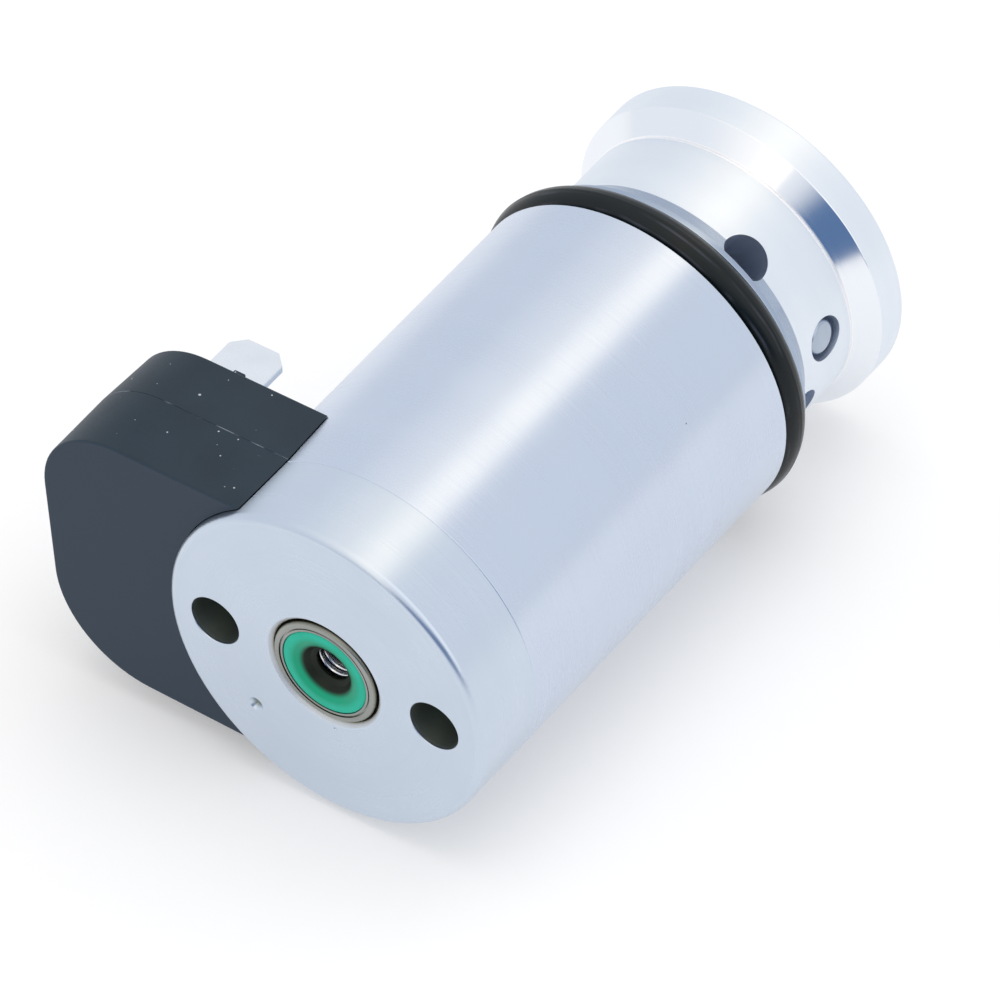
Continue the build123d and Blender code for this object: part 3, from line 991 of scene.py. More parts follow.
def start_material(name: str) -> tuple[bpy.types.Material, Graph, bpy.types.Node]:
    """Starts a node material.

    Args:
        name: Name of the material.

    Returns:
        The material, its graph and its Principled BSDF.
    """
    material = bpy.data.materials.new(name)
    material.use_nodes = True
    shader = next(node for node in material.node_tree.nodes if node.type == "BSDF_PRINCIPLED")
    return material, Graph(material.node_tree), shader


def add_bump(graph: Graph, shader: bpy.types.Node, height: bpy.types.NodeSocket, depth: float) -> None:
    """Gives a shader relief.

    Args:
        graph: The material's graph.
        shader: Its Principled BSDF.
        height: The height, about 0 to 1.
        depth: The relief's depth in thousandths of a millimetre.
    """
    bump = graph.tree.nodes.new("ShaderNodeBump")
    bump.inputs["Distance"].default_value = depth * MM / 1000
    graph.feed(bump.inputs["Height"], height)
    graph.feed(shader.inputs["Normal"], bump.outputs[0])


class Finishes:
    """Every material of the valve, by name."""

    def __init__(self, effects: Effects) -> None:
        """Builds the materials.

        Args:
            effects: The shared groups.
        """
        # Painted highlight: the port's chamfer is paler than the cap, as if lit, and rougher.
        port_chamfer_highlight = Zone(
            (0.74, 0.77, 0.80), roughness=0.62, along=(0.02, 1.0), radius=(5.9, 6.62), edge=0.06,
        )
        # Painted shade: the port's bore is darker and warmer below its mouth.
        port_bore_shade = Zone(
            (0.56, 0.54, 0.45), roughness=0.45, along=(0.25, 8.0), radius=(-10.0, 6.6), edge=0.2,
        )
        # Painted shade: the walls of the fixing holes are a dark olive.
        fixing_hole_shade = Zone(
            (0.27, 0.31, 0.28), roughness=0.5, along=(0.1, 8.5), radius=(8.5, 16.5), edge=0.4,
        )
        self.cap = Metal(
            "satin plated cap", (0.64, 0.71, 0.80), (0.615, 0.685, 0.775), roughness=0.30, pitch=0.26,
            depth=0.5, grain=0.3, dirt_share=0.03, scratch=0.05,
            zones=(port_chamfer_highlight, port_bore_shade, fixing_hole_shade),
        ).build(effects)
        self.can = Metal(
            "satin drawn steel", (0.63, 0.695, 0.80), (0.61, 0.675, 0.785), roughness=0.25, pitch=0.4,
            depth=0.2, grain=0.3, scratch=0.06,
        ).build(effects)
        cone = Zone(
            (0.89, 0.915, 0.95), roughness=0.12, along=(64.66, 66.76), radius=(15.0, 17.8), edge=0.04,
        )
        # Painted highlight: a near-white line at the edge of the neck's relief groove.
        relief_highlight = Zone(
            (0.99, 0.99, 1.0), roughness=0.3, along=(64.36, 64.80), radius=(15.0, 15.8), edge=0.06,
        )
        # Painted light and shade: the walls of the drilled holes get a blue-grey that stands in for how they
        # are lit.
        drilled = Zone(
            (0.74, 0.82, 0.95), roughness=0.5, along=(53.4, 63.2), radius=(-10.0, 15.38), edge=0.1,
        )
        # Painted shade: the shoulder behind the back ring is darker than the rest of the body.
        shoulder = Zone(
            (0.375, 0.44, 0.545), roughness=0.26, along=(54.0, 56.66), radius=(15.4, 17.0), edge=0.06,
        )
        self.aluminium = Metal(
            "bright turned aluminium", (0.83, 0.875, 0.925), (0.80, 0.85, 0.905), roughness=0.44,
            pitch=0.2, depth=0.6, scratch=0.12, zones=(cone, relief_highlight, shoulder, drilled),
        ).build(effects)
        self.grey_ring = Metal(
            "grey anodised ring", (0.42, 0.49, 0.60), (0.38, 0.45, 0.56), roughness=0.22, pitch=0.2,
            depth=0.8, scratch=0.1,
        ).build(effects)
        # Painted shade: the case darkens towards its outer edge, where it meets the cap's bore.
        case_edge_shade = Zone((0.25, 0.25, 0.20), roughness=0.34, radius=(5.6, 7.0), edge=0.3)
        self.seal_case = Metal(
            "warm stainless case", (0.38, 0.39, 0.36), (0.25, 0.26, 0.235), roughness=0.26, pitch=0.14,
            depth=1.2, dirt=(0.09, 0.08, 0.05), dirt_share=0.1, zones=(case_edge_shade,),
        ).build(effects)
        self.plug = Metal(
            "plated plug", (0.47, 0.53, 0.62), (0.41, 0.47, 0.55), roughness=0.22, pitch=0.18,
            depth=1.2,
        ).build(effects)
        self.wire = Metal(
            "bright spring wire", (0.82, 0.83, 0.85), (0.70, 0.71, 0.74), roughness=0.16, pitch=0.3,
            depth=0.6,
        ).build(effects)
        self.core = Metal(
            "turned magnetic steel", (0.50, 0.50, 0.51), (0.40, 0.40, 0.42), roughness=0.30, pitch=0.2,
            depth=1.5,
        ).build(effects)
        self.tube = Metal(
            "drawn stainless tube", (0.60, 0.61, 0.63), (0.52, 0.53, 0.55), roughness=0.22, pitch=0.4,
            depth=0.8,
        ).build(effects)
        self.flux = Metal(
            "turned mild steel", (0.55, 0.56, 0.58), (0.45, 0.46, 0.48), roughness=0.34, pitch=0.25,
            depth=2.0,
        ).build(effects)
        self.bronze = Metal(
            "sintered bronze", (0.62, 0.45, 0.24), (0.45, 0.30, 0.15), roughness=0.42, pitch=0.5,
            depth=2.0, dirt_share=0.1,
        ).build(effects)
        self.tin = Metal(
            "tin plate", (0.80, 0.84, 0.89), (0.74, 0.785, 0.84), roughness=0.30, pitch=0.5, depth=0.6,
            cloud_size=3.0, dirt_share=0.02, scratch=0.3,
        ).build(effects)
        self.copper = Metal(
            "enamelled copper", (0.72, 0.30, 0.12), (0.60, 0.22, 0.08), roughness=0.28, pitch=0.35,
            depth=20.0,
        ).build(effects)
        parting = Zone((0.26, 0.29, 0.34), roughness=0.6, along=(9.03, 9.17), edge=0.05, patch_size=2.5)
        # Painted light: the cover's front face is lighter and bluer than the rest of the moulding.
        front = Zone((0.019, 0.036, 0.058), roughness=0.5, along=(-1.0, 1.42), edge=0.03)
        self.nylon = Moulding(
            "black glass-filled nylon", (0.012, 0.024, 0.036), (0.009, 0.018, 0.028), roughness=0.50,
            grain_size=0.2, depth=3.0, mark_share=1.0, mark_size=0.12, scratch=0.10, specular=0.42,
            specular_tint=(0.78, 0.88, 1.0), zones=(parting, front),
        ).build(effects)
        # The black rubber's mark colour tints its few dust specks, and paints the pale streaks round the
        # O-ring as painted sheen.
        self.black_rubber = Moulding(
            "black nitrile rubber", (0.002, 0.006, 0.007), (0.004, 0.008, 0.010), roughness=0.30,
            grain_size=0.4, depth=1.5, mark=(0.08, 0.085, 0.12), mark_share=0.01, specular=0.27,
            streak=0.3,
        ).build(effects)
        self.pad_rubber = Moulding(
            "black pad rubber", (0.02, 0.02, 0.022), (0.03, 0.03, 0.032), roughness=0.5,
            grain_size=0.25, depth=3.0,
        ).build(effects)
        # Painted shade: the seal's face turns a deeper green towards the funnel, and the throat is painted
        # near black, standing in for shade in the recess.
        funnel = Zone((0.004, 0.38, 0.19), roughness=0.36, radius=(-10.0, 4.3), edge=0.9, strength=0.8)
        throat = Zone(
            (0.008, 0.013, 0.006), roughness=0.5, along=(0.10, 9.0), radius=(-10.0, 3.3), edge=0.5,
        )
        self.green_rubber = Moulding(
            "green seal rubber", (0.010, 0.62, 0.42), (0.007, 0.56, 0.36), roughness=0.34,
            grain_size=0.3, depth=2.0, mark=(0.5, 0.75, 0.62), mark_share=0.05, specular=0.28,
            cloud_size=3.0, zones=(funnel, throat),
        ).build(effects)
        self.tape = Moulding(
            "amber tape", (0.75, 0.48, 0.06), (0.66, 0.40, 0.04), roughness=0.25, grain_size=1.0,
            depth=3.0, coat=0.4,
        ).build(effects)
        self.red_lead = Moulding(
            "red insulation", (0.45, 0.03, 0.02), (0.36, 0.02, 0.015), roughness=0.4, grain_size=0.4,
            depth=2.0,
        ).build(effects)
        self.black_lead = Moulding(
            "black insulation", (0.02, 0.02, 0.022), (0.03, 0.03, 0.032), roughness=0.4,
            grain_size=0.4, depth=2.0,
        ).build(effects)


# Geometry Nodes


def start_tree(name: str, inputs: tuple[str, ...]) -> tuple[Graph, dict[str, bpy.types.NodeSocket]]:
    """Starts a Geometry Nodes tree that makes a mesh.

    Args:
        name: Name of the tree.
        inputs: Names of its inputs: numbers, or a whole number called Seed, or a material called Finish.

    Returns:
        Its graph and its input sockets by name.
    """
    kinds = {"Seed": "NodeSocketInt", "Finish": "NodeSocketMaterial"}
    tree = bpy.data.node_groups.new(name, "GeometryNodeTree")
    tree.interface.new_socket("Geometry", in_out="OUTPUT", socket_type="NodeSocketGeometry")
    for label in inputs:
        tree.interface.new_socket(label, in_out="INPUT", socket_type=kinds.get(label, "NodeSocketFloat"))
    graph = Graph(tree)
    return graph, {socket.name: socket for socket in graph.add("NodeGroupInput").outputs}


def finish_tree(
    graph: Graph, geometry: bpy.types.NodeSocket, finish: bpy.types.NodeSocket
) -> bpy.types.NodeTree:
    """Ends a Geometry Nodes tree with Realize Instances and Set Material.

    Args:
        graph: The tree's graph.
        geometry: The geometry that it has made.
        finish: The material's socket.

    Returns:
        The tree.
    """
    real = graph.add("GeometryNodeRealizeInstances", geometry=geometry)
    dress = graph.add("GeometryNodeSetMaterial", geometry=real.outputs[0], material=finish)
    graph.add("NodeGroupOutput", geometry=dress.outputs[0])
    return graph.tree


def grown(name: str, tree: bpy.types.NodeTree, values: dict) -> bpy.types.Mesh:
    """Runs a Geometry Nodes tree and gives its result as a plain mesh.

    Args:
        name: Name of the mesh.
        tree: The tree.
        values: Its inputs by name.

    Returns:
        The mesh, with its faces pointing outwards.
    """
    seed = bpy.data.objects.new(name + "_seed", bpy.data.meshes.new(name + "_seed"))
    bpy.context.scene.collection.objects.link(seed)
    modifier = seed.modifiers.new("tree", "NODES")
    modifier.node_group = tree
    for item in tree.interface.items_tree:
        if item.item_type == "SOCKET" and item.in_out == "INPUT":
            modifier[item.identifier] = values[item.name]
    mesh = evaluated(seed)
    bpy.data.objects.remove(seed)
    weld(mesh)
    return mesh


# Sub-assemblies


@dataclass
class EndCap:
    """Thick plated cap with two fixing holes, a port, a punched mark and a nick."""

    radius: float = 18.0
    length: float = 8.75
    edge_round: float = 0.83
    joint_round: float = 0.045
    spigot_radius: float = 16.77
    spigot_end: float = 11.95
    bore: float = 6.05
    bore_chamfer: float = 0.45
    mouth_round: float = 0.25
    step_y: float = 3.0
    step_radius: float = 6.5
    core_start: float = 6.5
    core_radius: float = 7.23
    core_end: float = 8.9
    seal_space: float = 7.9
    hole_radius: float = 2.75
    hole_spacing: float = 25.2
    hole_depth: float = 7.0
    hole_point: float = 0.8
    hole_chamfer: float = 0.06
    hole_round: float = 0.03
    mark_radius: float = 0.8
    mark_depth: float = 0.5
    mark_angle: float = 226.2
    mark_reach: float = 12.25
    nick_place: Point = (0.85, -6.95)
    nick_radius: float = 0.2
    dimple_flare: float = 1.7
    dimple_lip: float = 0.3
    dimple_floor: float = 0.3
    dimple_bowl: float = 0.5
    lead_slot: float = 5.0
    lead_slot_reach: float = 13.2
    lead_slot_gap: float = 0.01

    def build(self, finishes: Finishes) -> None:
        """Builds the cap.

        Args:
            finishes: The valve's materials.
        """
        outline = Outline(steps=8).to(self.bore, self.bore_chamfer, rounding=0.1)
        outline.to(self.bore + self.bore_chamfer, 0, self.mouth_round)
        outline.to(self.radius, 0, self.edge_round).to(self.radius, self.length, self.joint_round)
        outline.to(self.spigot_radius, self.length)
        outline.to(self.spigot_radius, self.spigot_end, rounding=0.3)
        outline.to(self.seal_space, self.spigot_end, rounding=0.2).to(self.seal_space, self.core_end)
        outline.to(self.core_radius, self.core_end).to(self.core_radius, self.core_start)
        outline.to(self.step_radius, self.core_start).to(self.step_radius, self.step_y)
        outline.to(self.bore, self.step_y)
        angle = math.radians(self.mark_angle)
        punched = (self.mark_reach * math.cos(angle), self.mark_reach * math.sin(angle))
        tools = [
            self.fixing_hole(-1),
            self.fixing_hole(1),
            self.dimple(punched, self.mark_radius, self.mark_depth),
            self.dimple(self.nick_place, self.nick_radius, self.nick_radius),
            block(
                "slot",
                (-self.radius, self.length + self.lead_slot_gap, -self.lead_slot),
                (-self.lead_slot_reach, self.spigot_end + OVERCUT, self.lead_slot),
            ),
        ]
        publish("turned_cap", drill(lathe("cap", outline, FINE_STEPS), tools), finishes.cap, "end_cap")

    def fixing_hole(self, side: int) -> bpy.types.Mesh:
        """Makes the tool for a blind hole with a drill point.

        Args:
            side: -1 for the hole next to the connector, 1 for the other one.

        Returns:
            The tool's mesh.
        """
        mouth = self.hole_radius + self.hole_chamfer
        outline = Outline(steps=4).to(0, -OVERCUT).to(mouth + OVERCUT, -OVERCUT)
        outline.to(mouth, 0, self.hole_round)
        outline.to(self.hole_radius, self.hole_chamfer, self.hole_round)
        outline.to(self.hole_radius, self.hole_depth, rounding=0.15)
        outline.to(0, self.hole_depth + self.hole_point)
        tool = lathe("hole", outline, HOLE_STEPS, solid=True)
        return placed(tool, Matrix.Translation((side * self.hole_spacing / 2 * MM, 0, 0)))

    def dimple(self, place: Point, radius: float, depth: float) -> bpy.types.Mesh:
        """Makes the tool for a round-bottomed dimple in the cap's face.

        Args:
            place: Its x and z on the face.
            radius: Its radius.
            depth: Its depth.

        Returns:
            The tool's mesh.
        """
        flare, floor = radius * self.dimple_flare, radius * self.dimple_floor
        outline = Outline(steps=5).to(0, -OVERCUT / 2).to(flare, -OVERCUT / 2)
        outline.to(radius, 0, radius * self.dimple_lip)
        outline.to(floor, depth, radius * self.dimple_bowl).to(0, depth)
        tool = lathe("dimple", outline, segments=64, solid=True)
        return placed(tool, Matrix.Translation((place[0] * MM, 0, place[1] * MM)))


@dataclass
class CoilCan:
    """Drawn steel can with rounded rims and the notch for the connector's tongue."""

    radius: float = 18.0
    wall: float = 1.2
    start: float = 8.75
    base: float = 50.0
    base_hole: float = 15.4
    rim_round: float = 0.15
    notch_width: float = 10.0
    notch_depth: float = 4.0
    notch_reach: float = 15.9

    def build(self, finishes: Finishes) -> None:
        """Builds the can.

        Args:
            finishes: The valve's materials.
        """
        inner = self.radius - self.wall
        floor = self.base - self.wall
        outline = Outline(steps=6).to(inner, self.start, rounding=0.1)
        outline.to(self.radius, self.start, self.rim_round)
        outline.to(self.radius, self.base, self.rim_round).to(self.base_hole, self.base, rounding=0.1)
        outline.to(self.base_hole, floor, rounding=0.1).to(inner, floor, rounding=0.3)
        notch = block(
            "notch",
            (-self.radius - OVERCUT, self.start - OVERCUT, -self.notch_width / 2),
            (-self.notch_reach, self.start + self.notch_depth, self.notch_width / 2),
        )
        publish("drawn_can", drill(lathe("can", outline, FINE_STEPS), [notch]), finishes.can, "coil_can")


@dataclass
class ValveBody:
    """Turned body: disc in the can, seal groove, neck with its holes, cone and rim."""

    start: float = 44.5
    disc_radius: float = 16.77
    disc_end: float = 48.8
    base_radius: float = 15.37
    base_end: float = 50.0
    groove_radius: float = 15.0
    groove_end: float = 54.4
    shoulder_radius: float = 16.5
    shoulder_end: float = 56.7
    shoulder_root: float = 1.2
    neck_radius: float = 15.5
    neck_rings: int = 9
    relief_start: float = 64.4
    relief_end: float = 64.7
    relief_depth: float = 0.2
    relief_fall: float = 0.05
    relief_rise: float = 0.08
    rim_start: float = 66.7
    rim_radius: float = 17.6
    rim_root: float = 0.22
    rim_edge: float = 0.12
    end: float = 70.5
    rim_chamfer: float = 0.4
    chamber: float = 5.6
    chamber_end: float = 59.2
    nozzle_radius: float = 4.6
    nozzle_end: float = 62.7
    supply_radius: float = 7.0
    supply_chamfer: float = 0.6
    snap_radius: float = 7.6
    snap_start: float = 64.6
    snap_end: float = 65.6
    seal_groove: tuple[float, float, float] = (6.6, 8.8, 45.85)
    port_radius: float = 2.5
    port_y: float = 56.6
    port_angles: tuple[float, ...] = (54.0, -18.0, -90.0)
    gallery: float = 1.2
    plug_radius: float = 2.3
    plug_y: float = 60.5
    plug_angle: float = 7.6
    plug_floor: float = 9.5
    plug_shoulder: float = 13.2
    plug_head: float = 1.8
    plug_head_reach: float = 15.2
    plug_crown: float = 0.55

    def build(self, finishes: Finishes) -> None:
        """Builds the body and the closing plug in its side.

        Args:
            finishes: The valve's materials.
        """
        body = drill(lathe("body", self.outline(), FINE_STEPS), self.drillings())
        soften_hole_edges(body, self.neck_radius, tolerance=0.05, width=0.07)
        publish("turned_body", body, finishes.aluminium, "valve_body")
        self.build_plug(finishes)

    def outline(self) -> Outline:
        """Gives the body's outline, from the chamber over the outside and back through the supply end.

        Returns:
            The closed outline.
        """
        inner, outer, floor = self.seal_groove
        outline = Outline(steps=6).to(self.chamber, self.start, rounding=0.1).to(inner, self.start)
        outline.to(inner, floor)
        outline.to(outer, floor).to(outer, self.start).to(self.disc_radius, self.start, rounding=0.2)
        outline.to(self.disc_radius, self.disc_end, rounding=0.2).to(self.base_radius, self.disc_end)
        outline.to(self.base_radius, self.base_end).to(self.groove_radius, self.base_end)
        outline.to(self.groove_radius, self.groove_end)
        outline.to(self.shoulder_radius, self.groove_end, rounding=0.1)
        outline.to(self.neck_radius, self.shoulder_end, self.shoulder_root)
        # Rings along the neck keep its shading even round the drilled holes.
        for ring in range(1, self.neck_rings):
            share = ring / self.neck_rings
            outline.to(self.neck_radius, self.shoulder_end * (1 - share) + self.relief_start * share)
        relief_radius = self.neck_radius - self.relief_depth
        outline.to(self.neck_radius, self.relief_start, rounding=0.05)
        outline.to(relief_radius, self.relief_start + self.relief_fall, rounding=0.03)
        outline.to(relief_radius, self.relief_end - self.relief_rise, rounding=0.05)
        outline.to(self.neck_radius, self.relief_end, rounding=0.03)
        outline.to(self.rim_radius, self.rim_start, self.rim_root)
        outline.to(self.rim_radius, self.end - self.rim_chamfer, self.rim_edge)
        outline.to(self.rim_radius - self.rim_chamfer, self.end, self.rim_edge)
        outline.to(self.supply_radius + self.supply_chamfer, self.end, rounding=0.1)
        outline.to(self.supply_radius, self.end - self.supply_chamfer, rounding=0.1)
        outline.to(self.supply_radius, self.snap_end).to(self.snap_radius, self.snap_end)
        outline.to(self.snap_radius, self.snap_start).to(self.supply_radius, self.snap_start)
        outline.to(self.supply_radius, self.nozzle_end)
        outline.to(self.nozzle_radius, self.nozzle_end, rounding=0.1)
        outline.to(self.nozzle_radius, self.chamber_end).to(self.chamber, self.chamber_end)
        return outline

    def drillings(self) -> list[bpy.types.Mesh]:
        """Makes the tools for the working ports, the plug's bore and the gallery behind it.

        Returns:
            The tools' meshes.
        """
        reach = self.rim_radius
        tools = [
            spoke("port", self.port_radius, self.port_y, angle, self.chamber - OVERCUT, reach)
            for angle in self.port_angles
        ]
        tools.append(spoke("bore", self.plug_radius, self.plug_y, self.plug_angle, self.plug_floor, reach))
        start = self.nozzle_radius - OVERCUT
        tools.append(spoke("gallery", self.gallery, self.plug_y, self.plug_angle, start, reach))
        return tools

    def build_plug(self, finishes: Finishes) -> None:
        """Builds the plug with its crowned head.

        Args:
            finishes: The valve's materials.
        """
        outline = Outline(steps=8).to(0, self.plug_floor)
        outline.to(self.plug_radius, self.plug_floor, rounding=0.2)
        outline.to(self.plug_radius, self.plug_shoulder, rounding=0.12)
        outline.to(self.plug_head, self.plug_shoulder)
        outline.to(self.plug_head, self.plug_head_reach, self.plug_crown).to(0, self.plug_head_reach)
        place = (
            Matrix.Translation((0, self.plug_y * MM, 0))
            @ Matrix.Rotation(-math.radians(self.plug_angle), 4, "Y")
            @ Matrix.Rotation(-math.pi / 2, 4, "Z")
        )
        plug = placed(lathe("plug", outline, HOLE_STEPS, solid=True), place)
        publish("crowned_plug", plug, finishes.plug, "closing_plug")


@dataclass
class OuterSeals:
    """Large O-ring with its moulding line, and the split ring behind it."""

    ring_radius: float = 16.75
    section: float = 3.5
    section_steps: int = 72
    centre_y: float = 51.9
    flash: float = 0.05
    flash_spread: float = 0.06
    split_inner: float = 15.05
    split_outer: float = 17.2
    split_start: float = 53.7
    split_end: float = 54.4
    split_gap: float = 0.8
    split_angle: float = 250.0

    def build(self, finishes: Finishes) -> None:
        """Builds both rings.

        Args:
            finishes: The valve's materials.
        """
        half = self.section / 2 - self.flash
        outline = Outline()
        for step in range(self.section_steps):
            angle = FULL_TURN * step / self.section_steps
            ridge = self.flash * max(0.0, 1 - (math.sin(angle) / self.flash_spread) ** 2)
            reach = half + ridge
            outline.to(self.ring_radius + reach * math.cos(angle), self.centre_y + reach * math.sin(angle))
        o_ring = lathe("o_ring", outline, segments=288)
        publish("moulded_o_ring", o_ring, finishes.black_rubber, "body_o_ring", crease=60, weighted=False)
        ring = split_ring(
            "ring", self.split_inner, self.split_outer, self.split_start, self.split_end, inner_round=0.08,
            gap=self.split_gap, segments=256, angle=self.split_angle,
        )
        publish("split_back_ring", ring, finishes.grey_ring, "back_ring")


@dataclass
class PortSeal:
    """Metal case and green face seal in the cap's port."""

    case_radius: float = 5.85
    flange_radius: float = 6.4
    flange_start: float = 3.02
    rear: float = 3.82
    floor: float = 2.77
    floor_hole: float = 2.6
    pocket: float = 4.8
    lip_crest: float = 0.05
    groove_inner: float = 5.05
    groove_outer: float = 5.2
    groove_depth: float = 0.25
    edge_round: float = 0.35
    face_y: float = 0.08
    seal_round: float = 0.22
    mouth: float = 3.6
    funnel: tuple[Point, Point] = ((0.95, 0.4), (0.5, -0.3))
    throat: float = 1.8
    throat_y: float = 1.35
    lip: float = 0.25
    spring_pocket: float = 2.4
    steps: int = 192

    def build(self, finishes: Finishes) -> None:
        """Builds the case and the seal.

        Args:
            finishes: The valve's materials.
        """
        crest = (self.pocket + self.groove_inner) / 2
        case = Outline(steps=4).to(self.pocket, self.lip_crest, rounding=0.04)
        case.to(crest, 0, rounding=0.03)
        case.to(self.groove_inner, self.lip_crest, rounding=0.03)
        case.to(self.groove_inner, self.groove_depth)
        case.to(self.groove_outer, self.groove_depth).to(self.groove_outer, 0, rounding=0.04)
        case.to(self.case_radius, 0, self.edge_round).to(self.case_radius, self.flange_start)
        case.to(self.flange_radius, self.flange_start).to(self.flange_radius, self.rear, rounding=0.08)
        case.to(self.floor_hole, self.rear).to(self.floor_hole, self.floor).to(self.pocket, self.floor)
        (upper, upper_depth), (lower, lower_rise) = self.funnel
        lip_end = self.throat_y + self.lip
        seal = Outline(steps=8).to(self.spring_pocket, self.floor).to(self.pocket, self.floor)
        seal.to(self.pocket, self.face_y, self.seal_round).to(self.mouth, self.face_y, rounding=0.6)
        seal.to(self.throat + upper, self.face_y + upper_depth, rounding=0.5)
        seal.to(self.throat + lower, self.throat_y + lower_rise, rounding=0.4)
        seal.to(self.throat, self.throat_y, rounding=0.08)
        seal.to(self.throat, lip_end, rounding=0.05).to(self.spring_pocket, lip_end)
        ring = lathe("case", case, self.steps)
        publish("turned_seal_case", ring, finishes.seal_case, "port_seal_case", Body.FACE_SEAL)
        ring = lathe("seal", seal, self.steps)
        publish("moulded_port_seal", ring, finishes.green_rubber, "port_seal", Body.FACE_SEAL)


@dataclass
class CoilSpring:
    """Round-wire compression spring with closed end turns, made by Geometry Nodes."""

    name: str
    node: str
    joint: str
    mean_radius: float
    wire_radius: float
    turns: float
    start: float
    end: float
    anchor_y: float
    travel: float

    @staticmethod
    def build_tree() -> bpy.types.NodeTree:
        """Builds the node tree that winds the wire round the valve's axis.

        Returns:
            The tree, with inputs for the radii, the turns, the two ends and the material.
        """
        numbers = ("Mean Radius", "Wire Radius", "Turns", "Start", "End")
        graph, entry = start_tree("wound spring", (*numbers, "Finish"))
        steps_along, steps_round = 600, 16
        wire = graph.math("MULTIPLY", entry["Wire Radius"], 2.0)
        line = graph.add("GeometryNodeCurvePrimitiveLine")
        fine = graph.add("GeometryNodeResampleCurve", curve=line.outputs[0], count=steps_along)
        factor = graph.add("GeometryNodeSplineParameter").outputs["Factor"]
        turn = graph.math("MULTIPLY", factor, entry["Turns"])
        angle = graph.math("MULTIPLY", turn, FULL_TURN)
        # The first and the last turn are closed and rise by one wire, those between rise by the pitch.
        free_turns = graph.math("SUBTRACT", entry["Turns"], 2.0)
        height = graph.math("SUBTRACT", graph.math("SUBTRACT", entry["End"], entry["Start"]), wire)
        free_height = graph.math("SUBTRACT", height, graph.math("MULTIPLY", wire, 2.0))
        pitch = graph.math("DIVIDE", free_height, free_turns)
        first = graph.math("MINIMUM", turn, 1.0)
        passed = graph.math("MAXIMUM", graph.math("SUBTRACT", turn, 1.0), 0.0)
        middle = graph.math("MINIMUM", passed, free_turns)
        last_start = graph.math("SUBTRACT", entry["Turns"], 1.0)
        last = graph.math("MAXIMUM", graph.math("SUBTRACT", turn, last_start), 0.0)
        rise = graph.math("MULTIPLY", graph.math("ADD", first, last), wire)
        rise = graph.math("ADD", rise, graph.math("MULTIPLY", middle, pitch))
        base = graph.math("ADD", entry["Start"], entry["Wire Radius"])
        place = graph.add(
            "ShaderNodeCombineXYZ",
            x=graph.math("MULTIPLY", graph.math("COSINE", angle), entry["Mean Radius"]),
            y=graph.math("ADD", base, rise),
            z=graph.math("MULTIPLY", graph.math("SINE", angle), entry["Mean Radius"]),
        )
        wind = graph.add("GeometryNodeSetPosition", geometry=fine.outputs[0], position=place.outputs[0])
        section = graph.add(
            "GeometryNodeCurvePrimitiveCircle", resolution=steps_round, radius=entry["Wire Radius"]
        )
        body = graph.add(
            "GeometryNodeCurveToMesh", curve=wind.outputs[0], profile_curve=section.outputs[0],
            fill_caps=True,
        )
        return finish_tree(graph, body.outputs[0], entry["Finish"])

    def build(self, tree: bpy.types.NodeTree, finish: bpy.types.Material) -> None:
        """Winds the spring.

        Args:
            tree: The tree from build_tree.
            finish: The wire's material.
        """
        values = {
            "Mean Radius": self.mean_radius * MM,
            "Wire Radius": self.wire_radius * MM,
            "Turns": self.turns,
            "Start": self.start * MM,
            "End": self.end * MM,
            "Finish": finish,
        }
        mesh = grown(self.name, tree, values)
        piece = publish(self.name, mesh, finish, self.node, crease=50, weighted=False)
        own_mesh(piece)


